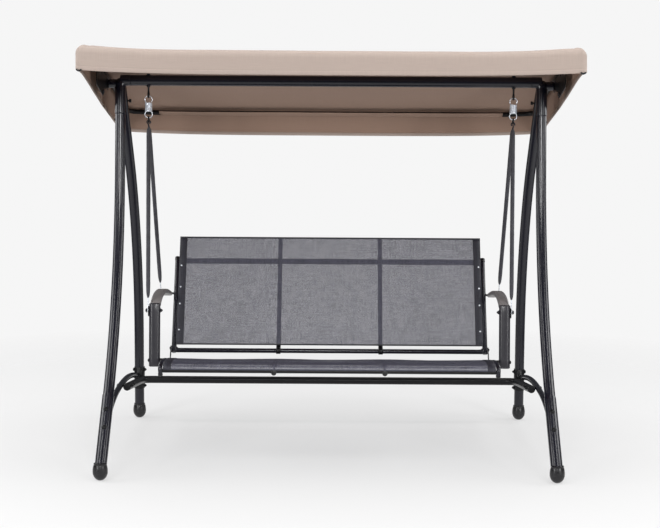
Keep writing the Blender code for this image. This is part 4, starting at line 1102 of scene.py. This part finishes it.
def build_seat_frame():
    """Curved side rails and stays, straight front and rear rails, and the plugs in their ends."""
    stay_line = seat_line(SEAT_RISE - MESH - STAY_R - 0.0014, STAY_FRONT_Y, STAY_REAR_Y)
    plugs = bmesh.new()
    for side, sign in SIDES:
        rail_line = in_plane(smooth_line(SEAT_CURVE, 6), sign * SEAT_RAIL_X)
        capped_tube("seat_rail_" + side, rail_line, SEAT_RAIL_R, PAINT, "bench",
                    ("seat_side_rail_" + side,), 0.0012)
        capped_tube("seat_strut_" + side, in_plane(stay_line, sign * STAY_X), STAY_R, PAINT,
                    "bench", ("seat_stay_" + side,), 0.0012)
        end, after = Vector(rail_line[0]), Vector(rail_line[1])
        cap = ((-0.0060, SEAT_RAIL_R + 0.0008), (0.0008, SEAT_RAIL_R + 0.0008), (0.0018, SEAT_RAIL_R))
        add_turned(plugs, cap, end, end - after)
        disc = ((0.0, 0.0094), (0.0012, 0.0098), (0.0030, 0.0092), (0.0040, 0.0068))
        front = FRONT_RAIL[0] - FRONT_RAIL_R - 0.0006
        add_turned(plugs, disc, (sign * STAY_X, front, FRONT_RAIL[1] - 0.0045), (0, -1, 0))
        neck = [(sign * STAY_X, FRONT_RAIL[0] + FRONT_RAIL_R, FRONT_RAIL[1]),
                (sign * STAY_X, STAY_FRONT_Y - 0.004, stay_line[0][1] - 0.0075)]
        add_tube(plugs, neck, 0.0040)
    mesh_piece("seat_plugs", plugs, PLASTIC, "bench")
    end = SEAT_RAIL_X - SEAT_RAIL_R
    rear_z = seat_height(REAR_RAIL_Y, SEAT_RISE - MESH) - REAR_RAIL_R - 0.0020
    for name, (y, z), radius, node in (
            ("front_rail_tube", FRONT_RAIL, FRONT_RAIL_R, "seat_front_rail"),
            ("rear_rail_tube", (REAR_RAIL_Y, rear_z), REAR_RAIL_R, "seat_rear_rail")):
        tube(name, [(-end, y, z), (end, y, z)], radius, BLACK, "bench", (node,))


def sag_grid(name, rows, half_width, columns, material, sag, nodes, middle=0.0):
    """A sling sheet: a smooth side profile drawn out across the width, with a shallow sag."""
    line = smooth_line(rows, 4)
    lengths = [0.0]
    for first, second in zip(line, line[1:]):
        lengths.append(lengths[-1] + (second - first).length)
    form = bmesh.new()
    last = len(line) - 1
    bmesh.ops.create_grid(form, x_segments=columns, y_segments=last, size=1.0)
    weave = form.loops.layers.uv.new("weave")
    spots = {}
    for vert in form.verts:
        u = vert.co.x
        row = round((vert.co.y + 1) / 2 * last)
        spot = line[row]
        along = (line[min(row + 1, last)] - line[max(row - 1, 0)]).normalized()
        dip = sag(u, lengths[row] / lengths[-1])
        vert.co = (middle + half_width * u, spot.x - along.y * dip, spot.y + along.x * dip)
        spots[vert] = (half_width * u, lengths[row])
    for face in form.faces:
        for loop in face.loops:
            loop[weave].uv = spots[loop.vert]
    sheet = mesh_piece(name, form, material, "bench", nodes, 80)
    thicken(sheet, MESH)
    return sheet, lengths[-1]


def between_stays(u):
    """1 midway between stays or between a stay and a side, 0 at each of them."""
    stay = STAY_X / BACK_HALF_X
    gap = abs(u)
    share = gap / stay if gap < stay else (gap - stay) / (1 - stay)
    return sin(pi * share) ** 2 if gap >= stay else cos(pi * share / 2) ** 2


def build_seat_sling():
    """Mesh from the front rail over the curved front to the rear rail, with bound sides."""
    reach = FRONT_RAIL_R + 0.0016
    edge = radians(-62)
    rows = [(FRONT_RAIL[0] + reach * sin(edge), FRONT_RAIL[1] + reach * cos(edge))]
    rear_y = REAR_RAIL_Y + REAR_RAIL_R
    rows += [p for p in seat_line(SEAT_RISE, -1.0, rear_y - 0.005)[::2] if p[1] > rows[0][1] + 0.003]
    rear_z = seat_height(REAR_RAIL_Y, SEAT_RISE)
    rows.append((rear_y - 0.001, rear_z - 0.0010))
    rows.append((rear_y + 0.0012, rear_z - 0.0060))

    def sag(u, share):
        inner = max(0.0, min(1.0, (share - 0.16) / 0.80))
        return -0.0035 * sin(pi * inner) * between_stays(u) + 0.0006 * noise.noise(
            Vector((u * 9.0, share * 6.0, 1.0)))

    half = SEAT_RAIL_X - SEAT_RAIL_R - 0.0020
    sheet, length = sag_grid("seat_cloth", rows, half, 72, SLING, sag, ("seat_sling",))
    build_bindings("seat", rows, half)


def build_bindings(part, rows, half):
    """The bound sides of a sling, laid on its cloth."""
    for side, sign in SIDES:
        band, length = sag_grid(part + "_binding_" + side, rows, BAND_WIDTH / 2, 2, SLING_BAND,
                                lambda u, share: 0.0010, (), sign * (half - BAND_WIDTH / 2))


def back_rows(count):
    """(y, z) points up the plane of the back."""
    return [back_point(BACK_LOW[1] + BACK_HEIGHT * step / count) for step in range(count + 1)]


def build_back_sling():
    rows = back_rows(12)

    def sag(u, share):
        return -0.0022 * sin(pi * share) * between_stays(u) + 0.0005 * noise.noise(
            Vector((u * 8.0, share * 7.0, 4.0)))

    sheet, length = sag_grid("back_cloth", rows, BACK_HALF_X, 72, SLING, sag, ("back_sling",))


def build_back_trim():
    """Bound and screwed sides, and the hems at top and bottom with a rod in each."""
    build_bindings("back", back_rows(6), BACK_HALF_X)
    screw = ((-0.001, 0.0030), (0.0003, 0.0034), (0.0012, 0.0028), (0.0016, 0.0014))
    lean = radians(RECLINE_DEG)
    screws = bmesh.new()
    for _, sign in SIDES:
        for height in (0.055, 0.152, 0.215, 0.296):
            spot = (sign * (BACK_HALF_X - 0.0095), *back_point(BACK_LOW[1] + height, -0.0012))
            add_turned(screws, screw, spot, (0, -cos(lean), sin(lean)), 14)
    mesh_piece("back_screws", screws, ZINC, "bench")
    for name, height, radius in (("back_top_hem", BACK_HEIGHT - 0.0030, 0.0034),
                                 ("back_low_hem", 0.0028, 0.0032)):
        y, z = back_point(BACK_LOW[1] + height, 0.0004)
        capped_tube(name, [(-BACK_HALF_X, y, z), (BACK_HALF_X, y, z)], radius, HEM_CLOTH,
                    "bench", (), 0.0012, 5)


def build_back_frame():
    low_z = REAR_BAR[1]
    end = BACK_BAR_X - BACK_BAR_R
    for side, sign in SIDES:
        x = sign * BACK_BAR_X
        line = [(x, *back_point(low_z - 0.012, 0.0105)), (x, *back_point(BACK_BAR_TOP_Z, 0.0105))]
        capped_tube("back_bar_" + side, line, BACK_BAR_R, PAINT, "bench", ("back_side_bar_" + side,))
        top, below = Vector(line[1]), Vector(line[0])
        cap = bmesh.new()
        add_turned(cap, ((-0.0120, 0.0104), (-0.0115, 0.0109), (0.0005, 0.0109), (0.0022, 0.0096)),
                   top, top - below)
        mesh_piece("back_cap_" + side, cap, PLASTIC, "bench")
        stay = sign * STAY_X
        low = back_point(low_z + REAR_BAR_R + 0.006, STAY_R + 0.0022)
        high = back_point(BACK_LOW[1] + BACK_HEIGHT - 0.004, STAY_R + 0.0022)
        capped_tube("back_strut_" + side, [(stay, *low), (stay, *high)], STAY_R, PAINT, "bench",
                    ("back_stay_" + side,))
        build_hook(side, sign)
    capped_tube("rear_bar_tube", [(-end, *REAR_BAR), (end, *REAR_BAR)], REAR_BAR_R, PAINT, "bench",
                ("rear_bar",))
    y, z = back_point(MID_RAIL_Z, 2 * STAY_R + MID_RAIL_R + 0.0028)
    capped_tube("mid_rail_tube", [(-end, y, z), (end, y, z)], MID_RAIL_R, PAINT, "bench",
                ("back_mid_rail",))


def build_hook(side, sign):
    """The clip that holds a back stay's foot on the rear bar."""
    x = sign * STAY_X
    y, z = REAR_BAR
    points = [(x, y + 0.0115 * sin(a), z + 0.0115 * cos(a))
              for a in (radians(-150 + 15 * step) for step in range(15))]
    points.append((x, *back_point(z + 0.024, 0.0035)))
    form = bmesh.new()
    rows = [[form.verts.new((px + half, py, pz)) for half in (-0.0085, 0.0085)]
            for px, py, pz in points]
    for first, second in zip(rows, rows[1:]):
        form.faces.new((first[0], first[1], second[1], second[0]))
    thicken(mesh_piece("bar_clip_" + side, form, BLACK, "bench"), 0.0018, 1.0)


def build_corner_plate(side, sign):
    """The round-ended plate that joins the seat's side rail to the back's side bar."""
    low = Vector((REAR_RAIL_Y, seat_height(REAR_RAIL_Y, 0.0)))
    high = Vector(back_point(REAR_BAR[1] + 0.004, 0.0105))
    lean = atan2(high.y - low.y, high.x - low.x)
    outline = []
    for centre, first in ((low, lean + pi / 2), (high, lean - pi / 2)):
        for step in range(13):
            angle = first + pi * step / 12
            outline.append(centre + 0.0100 * Vector((cos(angle), sin(angle))))
    inner = SEAT_RAIL_X + SEAT_RAIL_R + 0.0040
    flat_plate("corner_link_" + side, outline, inner, sign, PAINT, "bench",
               "corner_plate_" + side, 0.0005)
    bolts = bmesh.new()
    for spot, reach in ((low, SEAT_RAIL_X - SEAT_RAIL_R), (high, BACK_BAR_X - BACK_BAR_R)):
        add_bolt(bolts, (sign * (inner + PLATE), *spot), (sign * reach, *spot), 0.75)
    mesh_piece("corner_bolts_" + side, bolts, DARK_ZINC_AND_SHADE, "bench")


def oval_ring(form, centre, normal, half_width, half_depth):
    """A flat-oval ring of vertices: wide along x, deep along a normal in the (y, z) plane."""
    straight = half_width - half_depth
    ring = []
    for angle in circle(36):
        side = 0.0 if abs(cos(angle)) < 1e-6 else half_depth * cos(angle) + copysign(
            straight, cos(angle))
        deep = half_depth * sin(angle)
        ring.append(form.verts.new((centre[0] + side, centre[1] + normal.x * deep,
                                    centre[2] + normal.y * deep)))
    return ring


def oval_tube(name, line, x, width, depth, material, node):
    """A flat-oval tube along (y, z) points whose ends are domed over."""
    line = [Vector(point) for point in line]
    form = bmesh.new()

    def ring_at(spot, along, share):
        shrink = (1 - share) * depth / 2
        return oval_ring(form, (x, spot.x, spot.y), Vector((-along.y, along.x)),
                         width / 2 - shrink, depth / 2 - shrink)

    def end_rings(tip, inward, turn):
        return [ring_at(tip + inward * END_DOME * out, inward * turn, share)
                for out, share in ((0.0, 0.62), (0.25, 0.86), (0.6, 0.97), (1.0, 1.0))]

    rings = end_rings(line[0], (line[1] - line[0]).normalized(), 1)
    for before, spot, after in zip(line, line[1:], line[2:]):
        if min((spot - line[0]).length, (spot - line[-1]).length) > END_DOME:
            rings.append(ring_at(spot, (after - before).normalized(), 1.0))
    rings += reversed(end_rings(line[-1], (line[-2] - line[-1]).normalized(), -1))
    bridge(form, rings)
    mesh_piece(name, form, material, "bench", (node,), 50)


def build_arm(side, sign):
    """The post, the armrest that sweeps back from it, and the bolts that carry the hangers."""
    x = sign * POST_X
    low, top = Vector(POST_LOW), Vector(POST_TOP)
    post = [low.lerp(top, step / 8) for step in range(9)]
    oval_tube("arm_upright_" + side, post, x, POST_WIDTH, POST_DEPTH, ARM_PAINT,
              "arm_post_" + side)
    # The armrest's lighter paint is a painted reflection.
    oval_tube("arm_rail_" + side, smooth_line(ARM_POINTS, 6), x, ARM_WIDTH, ARM_DEPTH, ARMREST_PAINTED_SHEEN,
              "armrest_" + side)
    outer = HANGER_X + 0.0045
    for name, (y, z), inner, node in (
            ("arm_front_pin_", FRONT_BOLT, POST_X - POST_WIDTH / 2, "arm_front_bolt_"),
            ("arm_rear_pin_", REAR_BOLT, BACK_BAR_X + BACK_BAR_R, "arm_rear_bolt_")):
        form = bmesh.new()
        add_bolt(form, (sign * outer, y, z), (sign * inner, y, z), 0.95)
        add_turned(form, ((0.0, BOLT_R), (outer - inner, BOLT_R)), (sign * inner, y, z), (sign, 0, 0))
        mesh_piece(name + side, form, DARK_ZINC_AND_SHADE, "bench", (node + side,))
    foot = bmesh.new()
    spot = low.lerp(top, 0.100)
    inner = POST_X - POST_WIDTH / 2
    add_bolt(foot, (sign * (POST_X + POST_WIDTH / 2), *spot),
             (sign * (SEAT_RAIL_X - SEAT_RAIL_R), *spot), 0.8)
    gap = inner - SEAT_RAIL_X - SEAT_RAIL_R
    add_turned(foot, ((-0.0004, 0.0075), (gap + 0.0020, 0.0075)), (sign * inner, *spot),
               (-sign, 0, 0))
    lug = Vector(FRONT_BOLT)
    face = sign * (POST_X + POST_WIDTH / 2 + 0.0004)
    plate = ((0.0, 0.0095), (0.0004, 0.0100), (0.0026, 0.0100), (0.0032, 0.0095))
    for drop in (-0.0060, 0.0, 0.0060, 0.0120):
        add_turned(foot, plate, (face, lug.x, lug.y - drop), (sign, 0, 0), 24)
    mesh_piece("post_bolts_" + side, foot, BLACK, "bench")


# ---------------------------------------------------------------- stage

def build_floor():
    """A pale paper floor, brighter than its own shade so that shadows on it stay light."""
    form = bmesh.new()
    bmesh.ops.create_circle(form, cap_ends=True, segments=96, radius=FLOOR_RADIUS)
    mesh = bpy.data.meshes.new("floor")
    form.to_mesh(mesh)
    form.free()
    floor = link_object("floor", mesh)
    floor.location.z = -0.0005
    look = Shader("floor_paper", "", (0.31, 0.31, 0.31), 0.9)
    look.set("Specular IOR Level", 0.0)
    look.set("Emission Color", (1.0, 1.0, 1.0, 1.0))
    look.set("Emission Strength", FLOOR_GLOW)
    where = look.place(scale=(1.0, 1.0, 0.0))
    spot = look.node("ShaderNodeVectorMath", {0: where}, operation="LENGTH").outputs["Value"]
    fade = look.between(spot, 0.0, 1.0, FLOOR_RADIUS * 0.45, FLOOR_RADIUS * 0.98)
    look.blend(fade, look.node("ShaderNodeBsdfTransparent"))
    mesh.materials.append(look.material)


def area_light(name, place_at, aim, size, power):
    light = bpy.data.lights.new(name, "AREA")
    light.shape = "RECTANGLE"
    light.size, light.size_y = size
    light.energy = power
    lamp = link_object(name, light)
    lamp.location = place_at
    lamp.rotation_euler = (Vector(aim) - Vector(place_at)).to_track_quat("-Z", "Y").to_euler()


def build_light():
    """A white background that lights the bench only a little, and softboxes that do the rest."""
    world = bpy.data.worlds.new("studio")
    world.use_nodes = True
    tree = world.node_tree
    seen, fill = tree.nodes["Background"], tree.nodes.new("ShaderNodeBackground")
    seen.inputs[1].default_value = BACKGROUND
    seen.inputs[0].default_value = (1.0, 1.0, 1.0, 1.0)
    fill.inputs[0].default_value = (0.93, 0.95, 1.0, 1.0)
    fill.inputs[1].default_value = FILL
    path, blend = tree.nodes.new("ShaderNodeLightPath"), tree.nodes.new("ShaderNodeMixShader")
    tree.links.new(path.outputs["Is Camera Ray"], blend.inputs[0])
    tree.links.new(fill.outputs[0], blend.inputs[1])
    tree.links.new(seen.outputs[0], blend.inputs[2])
    tree.links.new(blend.outputs[0], tree.nodes["World Output"].inputs["Surface"])
    bpy.context.scene.world = world
    for sign, name in ((-1, "left"), (1, "right")):
        area_light("side_" + name, (sign * 3.1, 0.2, 1.9), (0, 0, 0.8), (2.2, 1.3), SIDE_POWER)
        area_light("low_" + name, (sign * 2.7, -3.0, 1.15), (0, 0, 1.1), (0.8, 1.4), LOW_POWER)
        area_light("high_" + name, (sign * 1.9, -1.9, 3.2), (0, 0, 0.7), (0.5, 1.4), HIGH_POWER)
        area_light("rear_" + name, (sign * 2.6, 2.9, 1.6), (0, 0, 0.7), (0.9, 1.6), REAR_POWER)
    area_light("front_soft", (0, -4.6, 2.1), (0, 0, 1.0), (1.4, 0.7), FRONT_POWER)
    area_light("overhead", (0, 0.1, 4.4), (0, 0, 0), (3.4, 2.6), TOP_POWER)


def build_camera():
    data = bpy.data.cameras.new("camera")
    data.sensor_width = 36.0
    data.lens = 36.0 * 1500 / 660
    camera = link_object("camera", data)
    camera.matrix_world = (Matrix.Translation((0.0, -5.645, 1.275))
                           @ Matrix.Rotation(radians(90 - 5.79), 4, "X")
                           @ Matrix.Rotation(radians(0.35), 4, "Z"))
    bpy.context.scene.camera = camera
    bpy.context.scene.view_settings.view_transform = "Standard"


build_camera()
build_light()
build_floor()
build_beam()
build_crossbar()
cover = build_canopy_cover()
build_canopy_frame()
build_pocket("rear_tube_pocket", CANOPY_REAR_Y - TUBE_INSET, -1)
build_pocket("front_tube_pocket", CANOPY_FRONT_Y + TUBE_INSET, 1)
build_corner_tabs()
build_seat_frame()
build_seat_sling()
build_back_frame()
build_back_sling()
build_back_trim()
for side, sign in SIDES:
    build_hub(side, sign)
    build_legs(side, sign)
    build_brace(side, sign)
    build_bracket(side, sign)
    build_knob(side, sign)
    build_eye_bolt(side, sign)
    build_spring(side, sign)
    build_link(side, sign)
    build_hanger("hanger_ahead_" + side, sign, HUB_Y - 0.0050, FRONT_BOLT, "hanger_front_" + side)
    build_hanger("hanger_behind_" + side, sign, HUB_Y + 0.0050, REAR_BOLT, "hanger_rear_" + side)
    build_arm(side, sign)
    build_corner_plate(side, sign)
